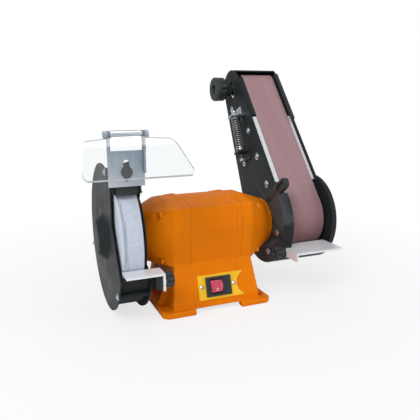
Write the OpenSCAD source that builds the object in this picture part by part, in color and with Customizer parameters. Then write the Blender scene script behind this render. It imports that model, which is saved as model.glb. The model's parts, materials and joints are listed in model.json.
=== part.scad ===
// Bench grinder with a belt sander arm.
// X runs along the motor shaft to the belt side, Y to the back, Z up.
// The origin is the middle of the four bench bolts, on the bench.

/* [Grinding wheel] */
// Diameter of the grinding wheel
wheel_d = 150; // [125:1:152]
// Thickness of the grinding wheel
wheel_w = 25; // [16:1:28]
// Diameter of the clamping flanges
flange_d = 50; // [40:1:56]

/* [Wheel guard] */
// Gap between the wheel's rim and the guard band
guard_gap = 5.5; // [3:0.5:8]
// Sheet thickness of the guard
guard_sheet = 1.5; // [1:0.1:2]
// Lower end of the opening, in degrees above the front horizontal
open_low = -22; // [-26:1:-20]
// Upper end of the opening, in degrees above the front horizontal
open_high = 48; // [44:1:52]
// Height of the cone over the wheel nut
cone_h = 10; // [9:0.5:14]

/* [Eye shield] */
// Width of the shield along its lower edge
shield_w = 110; // [90:1:120]
// Thickness of the clear sheet
shield_t = 2.5; // [2:0.1:4]
// Width of the shield bracket
bracket_w = 40; // [36:1:46]
// Sheet thickness of the bracket
bracket_t = 2; // [1.5:0.1:2.5]

/* [Motor] */
// Height of the shaft above the bench
shaft_z = 92; // [88:1:110]
// Length of the middle shell along the shaft
shell_l = 60; // [56:1:66]
// Distance from the origin to each end face of the motor
motor_end = 87; // [84:0.5:92]
// Radius of the stator stack
stator_r = 38; // [34:0.5:39]
// Shaft diameter in the bearings
shaft_d = 15; // [12:0.5:17]
// Shaft diameter at the wheel and the belt drum
arbor_d = 12.7; // [10:0.1:14]
// Outer diameter of the bearings
bearing_d = 35; // [32:1:40]
// Width of the bearings
bearing_w = 11; // [9:0.5:12]

/* [Base] */
// Length of the feet, front to back
foot_l = 127; // [116:1:140]
// Thickness of the feet
foot_t = 7; // [5:0.5:9]
// Bench bolt spacing along the shaft
bolt_pitch_x = 127; // [122:1:131]
// Bench bolt spacing from front to back
bolt_pitch_y = 92; // [84:1:100]
// Bench bolt hole diameter
bolt_hole_d = 6.5; // [5:0.5:8]
// Wall thickness of the castings
cast_wall = 4; // [3:0.5:5]

/* [Switch] */
// Width of the switch plate
plate_w = 52; // [46:1:56]
// Height of the switch plate
plate_h = 30; // [28:1:34]
// Middle of the switch along the shaft
switch_x = 2; // [-2:0.5:4]

/* [Belt sander arm] */
// Backward lean of the arm from upright
arm_lean = 39.4; // [0:0.1:60]
// Width of the sanding belt
belt_w = 50; // [40:1:52]
// Thickness of the sanding belt
belt_t = 1; // [0.6:0.1:1.4]
// Radius of the driven drum with its rubber
drum_r = 38.3; // [36:0.1:41]
// Radius of the idler roller
idler_r = 16.3; // [14:0.1:18]
// Distance from the shaft to the idler, along the arm
idler_a = 214; // [206:1:240]
// Gap between the arm plate and the belt
belt_gap = 9; // [8.5:0.5:12]
// Radius of the round lower guard
drum_guard_r = 58; // [56:0.5:60]
// Sheet thickness of the arm plates
arm_sheet = 2; // [1.5:0.1:2]
// Travel of the idler when the belt is released
tension_travel = 6; // [4:0.5:7]
// Tilt of the idler slide against the arm
slide_tilt = 16; // [14:0.5:17]

/* [Belt spring] */
// Outer diameter of the spring
spring_od = 12.5; // [10:0.5:14]
// Wire diameter of the spring
spring_wire = 1.6; // [1.2:0.1:1.8]
// Number of curls
spring_turns = 17; // [12:1:18]
// Length of the fitted spring
spring_l = 52; // [46:1:54]

/* [Tool rests] */
// Thickness of the rest plates
rest_t = 2.5; // [2:0.1:3]
// Gap between the wheel and its rest
rest_gap = 2; // [1:0.5:3]
// Depth of the wheel rest, front to back
rest_depth = 23; // [18:1:28]
// Diameter of the clamp knobs
knob_d = 18; // [14:1:20]
// Diameter of the belt tracking knob
track_knob_d = 35; // [28:1:38]

/* [Fits] */
// Gap around pieces that are fixed in each other
fit = 0.1; // [0.05:0.01:0.2]
// Gap between pieces that move past each other
run = 0.3; // [0.2:0.05:0.4]

/* [Hidden] */
$fn = 72;
eps = 0.5;

black = [0.14, 0.15, 0.155];
orange = [0.88, 0.42, 0.02];
zinc = [0.72, 0.74, 0.77];
steel = [0.82, 0.83, 0.85];
dark = [0.2, 0.21, 0.22];

// Screws of the sheet pieces
screw_head_r = 4.2;
screw_head_t = 2.2;
screw_r = 2;
screw_seat_t = 2;
hole_past = 1;

// Left side stack along the shaft
blotter_t = 0.5;
flange_t = 2;
flange_left_t = 4;
flange_gap = 0.5;
guard_plate_t = 2;
wheel_x = motor_end + guard_plate_t + flange_gap + flange_left_t + blotter_t + wheel_w / 2;
wheel_left = -wheel_x - wheel_w / 2;
wheel_right = -wheel_x + wheel_w / 2;
flange_hub_r = 11;
wheel_nut_t = 7;
wheel_nut_af = 19;
cover_clear = 3.3;
guard_x1 = -motor_end;
guard_x0 = guard_x1 - guard_plate_t;
cover_x1 = wheel_left - cover_clear;
cover_x0 = cover_x1 - guard_sheet;
shoulder_x = wheel_right + blotter_t + flange_left_t;
nut_x1 = wheel_left - blotter_t - flange_left_t;
nut_x0 = nut_x1 - wheel_nut_t;
arbor_r = arbor_d / 2;
shaft_r = shaft_d / 2;

// Guard
wheel_r = wheel_d / 2;
band_in_r = wheel_r + guard_gap;
band_r = band_in_r + guard_sheet;
boss_r = 3.2;
boss_ring_r = band_r + 2;
guard_r = boss_ring_r + 4;
guard_throat_r = 60;
plate_open = 8;
guard_screw_angles = [73.5, -39, 200];
guard_screw_r = 1.5;
guard_screw_l = 13;
mount_screw_l = 7;
mount_ring_r = 22;
mount_angles = [30, 150, 270];
cone_base_r = 29;
cone_top_r = 20;
mouth_top = ring_point(56.5, guard_r + 1);
mouth_knee = [-guard_r + 41.5, 25];
mouth_low = ring_point(-23, guard_r + 3);
tab_w = 23;
tab_t = 2;
tab_foot = 5;
band_end_z = shaft_z + band_r * sin(open_high);
tab_y = -band_r * cos(open_high);

// Shield bracket and shield
bracket_y1 = tab_y - tab_t - run;
bracket_y0 = bracket_y1 - bracket_t;
bracket_h = 38;
bracket_z0 = band_end_z + 8;
bracket_z1 = bracket_z0 + bracket_h;
bracket_slot = [6.6, 16];
bracket_bolt_z = bracket_z0 + 15;
tab_top = bracket_z0 + 25;
pivot_z = bracket_z1 + 18;
ear_top = pivot_z + 4;
ear_low = bracket_z0 + 14;
ear_depth = 7;
pivot_y = bracket_y0 - 4;
hinge_end = 4;
hinge_nut_af = 8;
bracket_washer = [6.5, 1.2];
bracket_head = [5, 4];
ear_r = 4.5;
hinge_r = 2.5;
hinge_barrel_r = 4.6;
shield_bend = [pivot_y - 26.3, pivot_z - 11];
shield_low = [pivot_y - 62.8, pivot_z - 39];
shield_neck_w = 34;
shield_top_w = 90;
shield_corner_r = 9;
neck_l = 9;

// Motor
barrel_half = [[14, 42.6], [47, 35.5], [49.5, 10], [43, -36]];
bell_x = motor_end - 36;
end_disc_r = 30;
seam_x = shell_l / 2;
bead_w = 6;
bead_h = 1.2;
neck_z = shaft_z - 35;
neck_y = 45;
skirt_z = 14;
skirt_y = 57;
shell_z0 = 5;
leg_top_x = bell_x;
leg_low_x = leg_top_x + 5.5;
leg_in_x = leg_top_x - cast_wall;
foot_x1 = bolt_pitch_x / 2 + 7.5;
foot_corner_r = 6;
gusset_y = 28;
gusset_t = 4;
gusset_z = 42;
bell_cavity_r = stator_r - 1.5;
end_wall_t = 7;
bearing_x0 = motor_end - end_wall_t - bearing_w;
bell_cavity_x = bearing_x0 - 11;
bearing_r = bearing_d / 2;
shaft_hole_r = shaft_r + 1.5;
bolt_y = 36;
bolt_z = 28;
bolt_r = 2;
bolt_head_r = 3.8;
bolt_head_x = motor_end - 25;
bolt_head_t = 3;
rotor_r = 21;
air_gap = 0.5;
winding_l = 14;
winding_in_r = rotor_r + 3;
winding_out_r = stator_r - 2.5;
rotor_ring_l = 4;
cavity_top = neck_z - 9;
floor_z = shell_z0 + 0.2;
floor_t = 1.6;
floor_x = 46;
capacitor_r = 11;
capacitor_l = 50;
capacitor_y = 26;
tag_l = 6;
tag_r = 1.5;
tag_y = 4;
block_size = [32, 14, 11];
block_place = [-16, -6];
block_ways = 4;
block_hole_r = 2.2;
vent_pitch = 9;
vent_r = 1.5;
vent_l = 22;
vent_y = -18;

// Switch face on the front of the pedestal
face_tilt = atan2(skirt_y - neck_y, neck_z - skirt_z);
switch_z = 29;
switch_y = -(neck_y + (neck_z - switch_z) * tan(face_tilt));
plate_t = 1.2;
tip_l = 7;
bite_r = 15;
frame_w = 33;
frame_h = 24;
frame_t = 2.2;
body_w = 27;
body_h = 19;
body_depth = 22;
rocker_w = 15;
rocker_h = 17;
rocker_x = -3;
rocker_out = 2.6;
rocker_r = 9;
plate_screw_x = 21.5;
gland_z = 26;
gland_bore_r = 4;
gland_r = 8;
gland_flange_t = 4;
gland_nose_l = 8;
plate_screw_r = screw_r - 0.5;
plate_screw_l = 5;
rocker_well = 7;

// Wheel rest
rest_z = shaft_z - 22;
rest_x0 = wheel_left - 1;
rest_leg_x0 = -motor_end + 7.1;
rest_leg_x1 = rest_leg_x0 + rest_t;
rest_back_y = -sqrt(pow(wheel_r, 2) - pow(shaft_z - rest_z, 2)) - rest_gap;
rest_front_y = rest_back_y - rest_depth;
rest_leg_z = rest_z - 20;
rest_stud_z = rest_z - 10.5;
rest_stud_y = rest_front_y + 10;
rest_travel = 5;
stud_r = 3;
support_bolt = [-wheel_r + 17, shaft_z - 42];
support_x1 = rest_leg_x0 - run;
rest_knob_l = 10;
knob_washer_t = 1.2;
knob_boss_r = knob_d / 2 - 2.5;
support_hub_r = 8;
support_head = [5, 3];
support_nut_t = 5;
support_nut_af = 10;
knob_flutes = 8;

// Arm
belt_in_r = drum_r + run;
belt_r = belt_in_r + belt_t;
idler_belt_in_r = idler_r + run;
idler_belt_r = idler_belt_in_r + belt_t;
idler_n = belt_r - idler_belt_r;
belt_back_angle = 2 * atan2(idler_n, idler_a);
spigot_x = motor_end + 2.7;
drum_wall_x0 = spigot_x + run;
drum_wall_t = 1.7;
drum_wall_x1 = drum_wall_x0 + drum_wall_t;
spigot_r = 22;
spigot_x1 = drum_wall_x1 + run;
ring_t = 2.5;
ring_r = 25.5;
ring_screw_r = 15.5;
clamp_screw_l = 7;
arm_clear = 7;
arm_x0 = spigot_x1 + ring_t + arm_clear;
arm_x1 = arm_x0 + arm_sheet;
belt_x = arm_x1 + belt_gap;
belt_x1 = belt_x + belt_w;
drum_x0 = belt_x + 0.5;
drum_x1 = belt_x1 - 0.5;
rim_x1 = arm_x1 + 1.5;
rim_t = 1.5;
cover_gap = 6;
outer_x0 = belt_x1 + cover_gap;
outer_x1 = outer_x0 + 1.5;
lip_x0 = outer_x0 - 4.5;
lip_t = 1.5;
front_n = belt_r + 2.4;
outer_front_n = front_n + 3;
head_n = idler_n - 6;
back_low = [-52, 70];
foot_circle_r = drum_guard_r - 4;
hub_hole_r = 15;
rim_cut_a = 8;
band_from = -45;
band_to = -205;
spacer_r = 4;
spacer_ring_r = drum_guard_r - 14;
spacer_angles = [-150, -100, -50];
post_spots = [[8, 58], [9, idler_a - 84], [-29, -41]];
post_r = 3.5;
hood_in_r = idler_belt_r + 5.4;
hood_r = hood_in_r + 1.5;
head_r = hood_r + 2.5;
left_lip_w = 6.5;
left_lip_a = idler_a - 68;
left_lip_l = 70;
right_lip_a = idler_a - 78;
right_lip_l = 84;
cover_screw_l = 10;
hood_from = 32;
hood_to = 168;
platen_n1 = belt_in_r - run;
platen_t = 1.8;
platen_x0 = arm_x1;
platen_x1 = outer_x0 - 1;
platen_flange_t = 1.5;
platen_flange_n = 16;
platen_a0 = 36;
platen_a1 = idler_a - 69;
platen_screw_n = 23;
platen_screw_a = [platen_a0 + 6, (platen_a0 + platen_a1) / 2 - 3, platen_a1 - 13];

// Idler slide, measured in its own tilted frame from the idler's middle
slide_x0 = arm_x1 + run;
slide_x1 = slide_x0 + 2;
slide_top_r = 15;
slide_low_z = -150;
pin_spots = [[-16, -30], [-7, -118]];
pin_r = 3;
pin_head_r = 5;
pin_head_t = 1.6;
rod_x_pos = arm_x0 - 9.5;
rod_n = 8;
rod_r = 2.2;
spring_top_z = -51.5;
tongue_t = 2.5;
tongue_w = 16;
tongue_x0 = arm_x0 - 17.5;
rod_nut = [4.5, 4];
upper_foot_t = 1.8;
lower_foot_t = 2;
bracket_foot_h = 14;
spring_bottom_z = spring_top_z - spring_l - 2 * run;
rod_top_z = spring_top_z + tongue_t + 7;
rod_low_z = spring_bottom_z - tongue_t - tension_travel - 3;
axle_r = 5;
carrier_x0 = slide_x1 + 2 * run;
carrier_x1 = belt_x - 1;
carrier_r = 11;
axle_x1 = belt_x1 + 1.5;
clip_r = 7;
track_n = -8.5;
track_x0 = arm_x0 - 28.5;
track_knob_l = 17;
track_flutes = 10;
track_neck_r = track_knob_d * 0.3;
track_x1 = arm_x0 - 2;
track_stud_r = 2.8;

// Tension lever
lever_n = 30;
lever_a = 18;
lever_x0 = arm_x0 - 8.5;
lever_x1 = arm_x0 - 3;
lever_turn = 6;
lever_dish_l = 14;
lever_l = 50;
lever_w = 14;
lever_hub_r = 8;
lever_pin_r = 4;

// Belt rest
belt_stud = ring_point(-29.4, drum_guard_r + 5) + [0, shaft_z];
belt_rest_z = belt_stud[1] + 7;
belt_rest_front = belt_stud[0] - 33;
belt_rest_back = belt_stud[0] + 9;
belt_rest_rim_y = belt_stud[0] - 6;
belt_leg_x0 = drum_wall_x1 + 0.5;
belt_leg_t = 2;
belt_leg_r = 4.3;
belt_rest_x0 = rim_x1 + 1;
belt_rest_x1 = lip_x0 - 6;
belt_knob_x0 = drum_wall_x0 - 11;
stud_boss_r = 8;

// A point at an angle above the front horizontal, as [y, z]
function ring_point(a, r) = [-r * cos(a), r * sin(a)];
// A point of the arm from its distances ahead of and along it, as [y, z]
function arm_point(n, a) = [-n, a];

// Extrudes a [y, z] outline along the shaft
module along_x(x0, x1) translate([x0, 0, 0]) rotate([90, 0, 90]) linear_extrude(x1 - x0) children();
module rod_x(x0, x1, r) translate([x0, 0, 0]) rotate([0, 90, 0]) cylinder(h = x1 - x0, r = r);
module tube_x(x0, x1, r, bore) difference() {
    rod_x(x0, x1, r);
    rod_x(x0 - eps, x1 + eps, bore);
}
module at_shaft() translate([0, 0, shaft_z]) children();
module at_yz(p) translate([0, p[0], p[1]]) children();
module in_arm() at_shaft() rotate([-arm_lean, 0, 0]) children();
module in_slide() in_arm() translate([0, -idler_n, idler_a]) rotate([slide_tilt, 0, 0]) children();
module hex_x(x0, x1, across) translate([x0, 0, 0]) rotate([0, 90, 0])
    cylinder(h = x1 - x0, r = across / 2 / cos(30), $fn = 6);
module sector2d(r, a0, a1) polygon([[0, 0], for (i = [0:12]) ring_point(a0 + (a1 - a0) * i / 12, r * 1.3)]);
module ring2d(r, bore) difference() {
    circle(r);
    circle(bore);
}
// A straight slot with round ends along the second axis
module slot2d(r, l) {
    square([2 * r, l], center = true);
    for (s = [-1, 1]) translate([0, s * l / 2]) circle(r);
}
// A domed screw along -X with its head seated at x and its shank to x1
module dome_screw(x, x1) {
    intersection() {
        rod_x(x - screw_head_t, x, screw_head_r);
        translate([x + screw_head_r - 1, 0, 0]) sphere(screw_head_r * 1.25);
    }
    rod_x(x, x1, screw_r);
}
// A fluted clamp knob from x0 to x1
module fluted_knob(x0, x1, d, flutes) difference() {
    rod_x(x0, x1, d / 2);
    for (i = [0:flutes - 1]) rotate([i * 360 / flutes, 0, 0])
        translate([0, d / 2 + d * 0.06, 0]) rod_x(x0 - eps, x1 + eps, d * 0.12, $fn = 24);
}

// Motor housing
module barrel2d(grow = 0) polygon(concat(
    [for (p = barrel_half) [p[0] + grow, p[1] + sign(p[1]) * grow]],
    [for (i = [len(barrel_half) - 1:-1:0]) [-barrel_half[i][0] - grow,
        barrel_half[i][1] + sign(barrel_half[i][1]) * grow]]));
module pedestal2d(z0, inset = 0) polygon([
    [-neck_y + inset, neck_z], [neck_y - inset, neck_z], [skirt_y - inset, skirt_z],
    [skirt_y - inset, z0], [-skirt_y + inset, z0], [-skirt_y + inset, skirt_z]]);
module pedestal_cavity(x0, x1) along_x(x0, x1) intersection() {
    pedestal2d(-eps, cast_wall);
    translate([-skirt_y, -2 * eps]) square([2 * skirt_y, cavity_top]);
}
module bolt_holes() bolt_spots() {
    rod_x(-bolt_head_x - eps, bolt_head_x + eps, bolt_r + fit);
    for (s = [-1, 1]) rod_x(s > 0 ? bolt_head_x : -motor_end, s > 0 ? motor_end : -bolt_head_x,
        bolt_head_r + run);
}
module on_switch_face() translate([switch_x, switch_y, switch_z]) rotate([90 - face_tilt, 0, 0]) children();
module switch_hole() on_switch_face()
    translate([-body_w / 2 - fit, -body_h / 2 - fit, -body_depth])
        cube([body_w + 2 * fit, body_h + 2 * fit, body_depth + 8]);

module motor_shell() color(orange) difference() {
    along_x(-seam_x, seam_x) {
        translate([0, shaft_z]) barrel2d();
        pedestal2d(shell_z0);
    }
    at_shaft() rod_x(-seam_x - eps, seam_x + eps, stator_r + fit);
    pedestal_cavity(-seam_x - eps, seam_x + eps);
    bolt_holes();
    switch_hole();
    translate([0, skirt_y - 12, gland_z]) rotate([-90, 0, 0]) cylinder(h = 20, r = gland_r - 2 + fit);
    on_switch_face() for (s = [-1, 1]) translate([s * plate_screw_x, 0, -plate_screw_l - hole_past])
        cylinder(h = 2 * plate_screw_l, r = plate_screw_r + fit);
}

// One end casting with its leg and foot, drawn on the belt side
module end_casting() difference() {
    union() {
        translate([0, 0, shaft_z]) {
            along_x(seam_x, bell_x) barrel2d();
            along_x(seam_x, seam_x + bead_w) barrel2d(bead_h);
            hull() {
                along_x(bell_x - eps, bell_x) barrel2d();
                rod_x(motor_end - 1, motor_end, end_disc_r, $fn = 48);
            }
        }
        intersection() {
            along_x(seam_x, leg_low_x) pedestal2d(0);
            translate([0, skirt_y, 0]) rotate([90, 0, 0]) linear_extrude(2 * skirt_y) polygon([
                [seam_x, 0], [leg_low_x, 0], [leg_low_x, skirt_z], [leg_top_x, neck_z], [seam_x, neck_z]]);
        }
        linear_extrude(foot_t) difference() {
            translate([seam_x, -foot_l / 2]) square([foot_x1 - seam_x, foot_l]);
            for (s = [-1, 1]) translate([foot_x1, s * foot_l / 2]) rotate(45)
                square(foot_corner_r * sqrt(2), center = true);
        }
        for (s = [-1, 1]) translate([0, s * gusset_y + gusset_t / 2, 0]) rotate([90, 0, 0])
            linear_extrude(gusset_t) polygon([[leg_top_x, foot_t - eps], [foot_x1 - 2, foot_t - eps],
                [foot_x1 - 2, foot_t], [leg_top_x + 2, gusset_z], [leg_top_x, gusset_z]]);
    }
    at_shaft() {
        rod_x(seam_x - eps, bell_cavity_x, bell_cavity_r);
        rod_x(seam_x, bearing_x0 + bearing_w, bearing_r + fit);
        rod_x(seam_x, motor_end + 10, shaft_hole_r);
    }
    pedestal_cavity(seam_x - eps, leg_in_x);
    bolt_holes();
    for (s = [-1, 1]) translate([bolt_pitch_x / 2, s * bolt_pitch_y / 2, -eps])
        cylinder(h = foot_t + 2 * eps, r = bolt_hole_d / 2);
}
module left_end_casting() color(orange) difference() {
    mirror([1, 0, 0]) end_casting();
    guard_mount_holes();
}
module right_end_casting() color(orange) difference() {
    union() {
        end_casting();
        at_shaft() tube_x(motor_end, spigot_x, end_disc_r, shaft_hole_r);
        at_shaft() tube_x(motor_end, spigot_x1, spigot_r, shaft_hole_r);
    }
    mount_spots(ring_screw_r)
        rod_x(spigot_x1 - clamp_screw_l - hole_past, spigot_x1 + eps, screw_r + fit);
}

module bolt_spots() at_shaft() for (y = [-1, 1], z = [-1, 1])
    translate([0, y * bolt_y, z * bolt_z]) children();
module through_bolts() color(steel) bolt_spots() {
    rod_x(-bolt_head_x, bolt_head_x, bolt_r);
    for (s = [0, 1]) mirror([s, 0, 0])
        hex_x(bolt_head_x, bolt_head_x + bolt_head_t, 2 * bolt_head_r * cos(30));
}

// Motor inside
module stator_core() color([0.45, 0.46, 0.48]) at_shaft() difference() {
    rod_x(-seam_x + eps, seam_x - eps, stator_r);
    rod_x(-seam_x, seam_x, rotor_r + air_gap);
}
module stator_windings() color([0.72, 0.36, 0.14]) at_shaft() for (s = [0, 1]) mirror([s, 0, 0])
    translate([seam_x - eps + fit, 0, 0]) rotate([0, 90, 0]) rotate_extrude() {
        translate([winding_in_r, 0]) square([winding_out_r - winding_in_r, winding_l - 4]);
        translate([winding_in_r + 3, 0]) square([winding_out_r - winding_in_r - 6, winding_l]);
    }
module bearing(x0) at_shaft() difference() {
    tube_x(x0, x0 + bearing_w, bearing_r, shaft_r + fit);
    for (x = [x0 - eps, x0 + bearing_w - 1]) tube_x(x, x + 1 + eps, bearing_r * 0.82, shaft_r * 1.35);
}
module shaft_bearings() color(steel) {
    bearing(-bearing_x0 - bearing_w);
    bearing(bearing_x0);
}
module bottom_plate() color(black) difference() {
    floor_y = skirt_y - cast_wall - run;
    translate([-floor_x, -floor_y, floor_z]) cube([2 * floor_x, 2 * floor_y, floor_t]);
    for (i = [-3:3]) translate([i * vent_pitch, vent_y, floor_z - eps])
        linear_extrude(floor_t + 2 * eps) slot2d(vent_r, vent_l);
}
module on_floor(x, y, up) translate([x, y, floor_z + floor_t + fit + up]) children();
module capacitor() color([0.85, 0.86, 0.87]) on_floor(0, capacitor_y, capacitor_r) {
    rod_x(-capacitor_l / 2, capacitor_l / 2, capacitor_r);
    for (s = [-1, 1]) translate([0, s * tag_y, 0]) rod_x(capacitor_l / 2, capacitor_l / 2 + tag_l, tag_r);
}
module terminal_block() color([0.9, 0.9, 0.86]) on_floor(block_place[0], block_place[1], 0) difference() {
    cube(block_size);
    for (i = [0:block_ways - 1]) translate([(i + 0.5) * block_size[0] / block_ways, block_size[1] / 2,
        block_size[2] / 2 + eps]) cylinder(h = block_size[2], r = block_hole_r);
}

// Switch
module switch_plate() color([0.98, 0.76, 0.04]) on_switch_face() difference() {
    translate([-plate_w / 2, -plate_h / 2, fit]) cube([plate_w + tip_l, plate_h, plate_t]);
    cut_h = plate_t + 4 * eps;
    translate([-body_w / 2 - fit, -body_h / 2 - fit, -eps]) cube([body_w + 2 * fit, body_h + 2 * fit, cut_h]);
    translate([plate_w / 2 + bite_r - 1, 0, -eps]) cylinder(h = cut_h, r = bite_r);
    for (s = [-1, 1]) translate([s * plate_screw_x, 0, -eps]) cylinder(h = cut_h, r = screw_r + fit);
}
module switch_body() color(black) on_switch_face() difference() {
    union() {
        translate([-body_w / 2, -body_h / 2, -body_depth + eps]) cube([body_w, body_h, body_depth + plate_t]);
        translate([-frame_w / 2, -frame_h / 2, plate_t + 2 * fit]) cube([frame_w, frame_h, frame_t]);
    }
    translate([rocker_x - rocker_w / 2 - run, -rocker_h / 2 - run, -rocker_well])
        cube([rocker_w + 2 * run, rocker_h + 2 * run, rocker_well + 5]);
}
module switch_rocker() color([0.78, 0.24, 0.36]) on_switch_face() intersection() {
    translate([rocker_x - rocker_w / 2, 0, -rocker_r + plate_t + frame_t + rocker_out]) difference() {
        rod_x(0, rocker_w, rocker_r);
        for (s = [-1, 1]) translate([-eps, s * 9, rocker_r + 3]) rod_x(0, rocker_w + 2 * eps, 6.6);
    }
    translate([rocker_x - rocker_w / 2, -rocker_h / 2 + 1, -4]) cube([rocker_w, rocker_h - 2, 20]);
}
module switch_plate_screws() color(zinc) on_switch_face() for (s = [-1, 1]) {
    head_z = plate_t + 2 * fit;
    translate([s * plate_screw_x, 0, head_z]) cylinder(h = 1.4, r1 = 3.2, r2 = 2);
    translate([s * plate_screw_x, 0, -plate_screw_l]) cylinder(h = plate_screw_l + head_z, r = plate_screw_r);
}
module cable_gland() color(black) translate([0, 0, gland_z]) rotate([-90, 0, 0]) difference() {
    back_y = skirt_y - (gland_z - skirt_z) * tan(face_tilt);
    union() {
        translate([0, 0, back_y - cast_wall - 3]) cylinder(h = cast_wall + 8, r = gland_r - 2);
        translate([0, 0, skirt_y + fit]) cylinder(h = gland_flange_t, r = gland_r);
        translate([0, 0, skirt_y + gland_flange_t])
            cylinder(h = gland_nose_l, r1 = gland_r - 1, r2 = gland_bore_r + 2);
    }
    translate([0, 0, back_y - 10]) cylinder(h = 40, r = gland_bore_r);
}

// Spindle
module motor_shaft() color(steel) at_shaft() {
    rod_x(nut_x0 - 1, shoulder_x, arbor_r - fit / 2);
    rod_x(shoulder_x, drum_x0, shaft_r);
    rod_x(drum_x0, drum_x1 - 3, arbor_r - fit / 2);
}
module rotor_core() color([0.5, 0.5, 0.52]) at_shaft() {
    tube_x(-seam_x + eps, seam_x - eps, rotor_r, shaft_r + fit / 2);
    for (x = [-seam_x - rotor_ring_l, seam_x]) tube_x(x, x + rotor_ring_l, rotor_r - 1, shaft_r + 5);
}
module grinding_wheel() color([0.8, 0.82, 0.86]) at_shaft() tube_x(wheel_left, wheel_right, wheel_r, arbor_r);
module wheel_flanges() color(steel) at_shaft() {
    tube_x(wheel_right + blotter_t, wheel_right + blotter_t + flange_t, flange_d / 2, arbor_r);
    tube_x(wheel_right + blotter_t, shoulder_x, flange_hub_r, arbor_r);
    tube_x(nut_x1, wheel_left - blotter_t, flange_d / 2, arbor_r);
}
module wheel_blotters() color([0.75, 0.2, 0.16]) at_shaft() for (x = [wheel_left - blotter_t, wheel_right])
    tube_x(x, x + blotter_t, flange_d / 2 + 2, arbor_r);
module wheel_nut() color(steel) at_shaft() difference() {
    hex_x(nut_x0, nut_x1, wheel_nut_af);
    rod_x(nut_x0 - eps, nut_x1 + eps, arbor_r);
}
drum_tyre_t = 5;
drum_hub_r = drum_r - drum_tyre_t;
drum_hub_face = drum_x0 + 36;
drum_wall = 5;
drum_boss_r = 13;
drum_pocket = 14;
drum_nut_t = 8;
module drum_hub() color([0.7, 0.71, 0.73]) at_shaft() difference() {
    rod_x(drum_x0, drum_x1, drum_hub_r);
    rod_x(drum_x0 - eps, drum_x1 + eps, arbor_r);
    rod_x(drum_hub_face, drum_x1 + eps, drum_hub_r - drum_wall);
    tube_x(drum_x0 - eps, drum_x0 + drum_pocket, drum_hub_r - drum_wall, drum_boss_r);
}
module drum_tyre() color([0.09, 0.09, 0.1]) at_shaft() tube_x(drum_x0, drum_x1, drum_r, drum_hub_r + fit / 2);
module drum_nut() color(steel) at_shaft() difference() {
    hex_x(drum_hub_face + fit, drum_hub_face + drum_nut_t, wheel_nut_af);
    rod_x(drum_hub_face, drum_hub_face + drum_nut_t + eps, arbor_r);
}

// Wheel guard
module mount_spots(r) at_shaft() for (a = mount_angles) rotate([a, 0, 0]) translate([0, r, 0]) children();
module guard_screw_spots() at_shaft() for (a = guard_screw_angles)
    at_yz(ring_point(a, boss_ring_r)) children();
module guard_mount_holes() mount_spots(mount_ring_r)
    rod_x(guard_x0 - eps, guard_x1 + mount_screw_l + hole_past, screw_r + fit);
module inner_guard() color(black) difference() {
    union() {
        at_shaft() {
            along_x(guard_x0, guard_x1) difference() {
                circle(guard_r);
                difference() {
                    sector2d(guard_r, open_low, open_high + plate_open);
                    circle(guard_throat_r);
                }
                circle(shaft_r + 5);
            }
            along_x(cover_x1, guard_x0) difference() {
                ring2d(band_r, band_in_r);
                sector2d(guard_r, open_low, open_high);
            }
        }
        guard_screw_spots() rod_x(cover_x1, guard_x0, boss_r);
        translate([-wheel_x - tab_w / 2, tab_y - tab_t, band_end_z - tab_t]) {
            cube([tab_w, tab_t, tab_top - band_end_z + tab_t]);
            cube([tab_w, tab_foot, tab_t]);
        }
    }
    guard_mount_holes();
    guard_screw_spots() rod_x(cover_x1 - eps, cover_x1 + guard_screw_l + hole_past, guard_screw_r + fit);
    at_yz(support_bolt) rod_x(guard_x0 - eps, guard_x1 + eps, stud_r + fit);
    translate([-wheel_x, tab_y + 1, bracket_bolt_z]) rotate([90, 0, 0])
        cylinder(h = 4 * tab_t, r = stud_r + fit);
}
// The hollow cone over the nut, from x to the left, thinner by inset
module nut_cone(x, inset) translate([x + eps, 0, 0]) rotate([0, -90, 0])
    cylinder(h = cone_h + eps, r1 = cone_base_r - inset, r2 = cone_top_r - inset);
module guard_cover() color(black) difference() {
    at_shaft() difference() {
        union() {
            along_x(cover_x0, cover_x1) difference() {
                circle(guard_r);
                polygon([mouth_top, mouth_knee, mouth_low, [-2 * guard_r, mouth_low[1]],
                    [-2 * guard_r, mouth_top[1]]]);
            }
            nut_cone(cover_x0, 0);
        }
        nut_cone(cover_x1, guard_sheet);
    }
    guard_screw_spots() rod_x(cover_x0 - eps, cover_x1 + eps, guard_screw_r + run + fit);
}
module guard_cover_screws() color(zinc) guard_screw_spots() {
    rod_x(cover_x0 - screw_seat_t - fit, cover_x0 - fit, 3.4);
    rod_x(cover_x0 - fit, cover_x1 + guard_screw_l, guard_screw_r);
}
module guard_mount_screws() color(zinc) mount_spots(mount_ring_r) {
    rod_x(guard_x0 - 1.8 - fit, guard_x0 - fit, screw_head_r);
    rod_x(guard_x0 - fit, guard_x1 + mount_screw_l, screw_r);
}

// Shield bracket and shield
module bracket_ear(x) along_x(x, x + bracket_t) difference() {
    union() {
        translate([bracket_y0 - ear_depth, ear_low])
            square([ear_depth + bracket_t, ear_top - ear_r - ear_low]);
        translate([pivot_y, pivot_z]) circle(ear_r);
        translate([pivot_y - ear_r, bracket_z1]) square([2 * ear_r, pivot_z - bracket_z1]);
    }
    translate([pivot_y, pivot_z]) circle(hinge_r + fit);
}
module shield_bracket() color(zinc) {
    difference() {
        translate([-wheel_x - bracket_w / 2, bracket_y0, bracket_z0]) cube([bracket_w, bracket_t, bracket_h]);
        translate([-wheel_x, bracket_y1 + eps, bracket_bolt_z + 2]) rotate([90, 0, 0])
            linear_extrude(bracket_t + 2 * eps) slot2d(bracket_slot[0] / 2, bracket_slot[1]);
    }
    bracket_ear(-wheel_x - bracket_w / 2);
    bracket_ear(-wheel_x + bracket_w / 2 - bracket_t);
}
module on_bracket() translate([-wheel_x, bracket_y0 - run, bracket_bolt_z]) rotate([90, 0, 0]) children();
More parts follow.
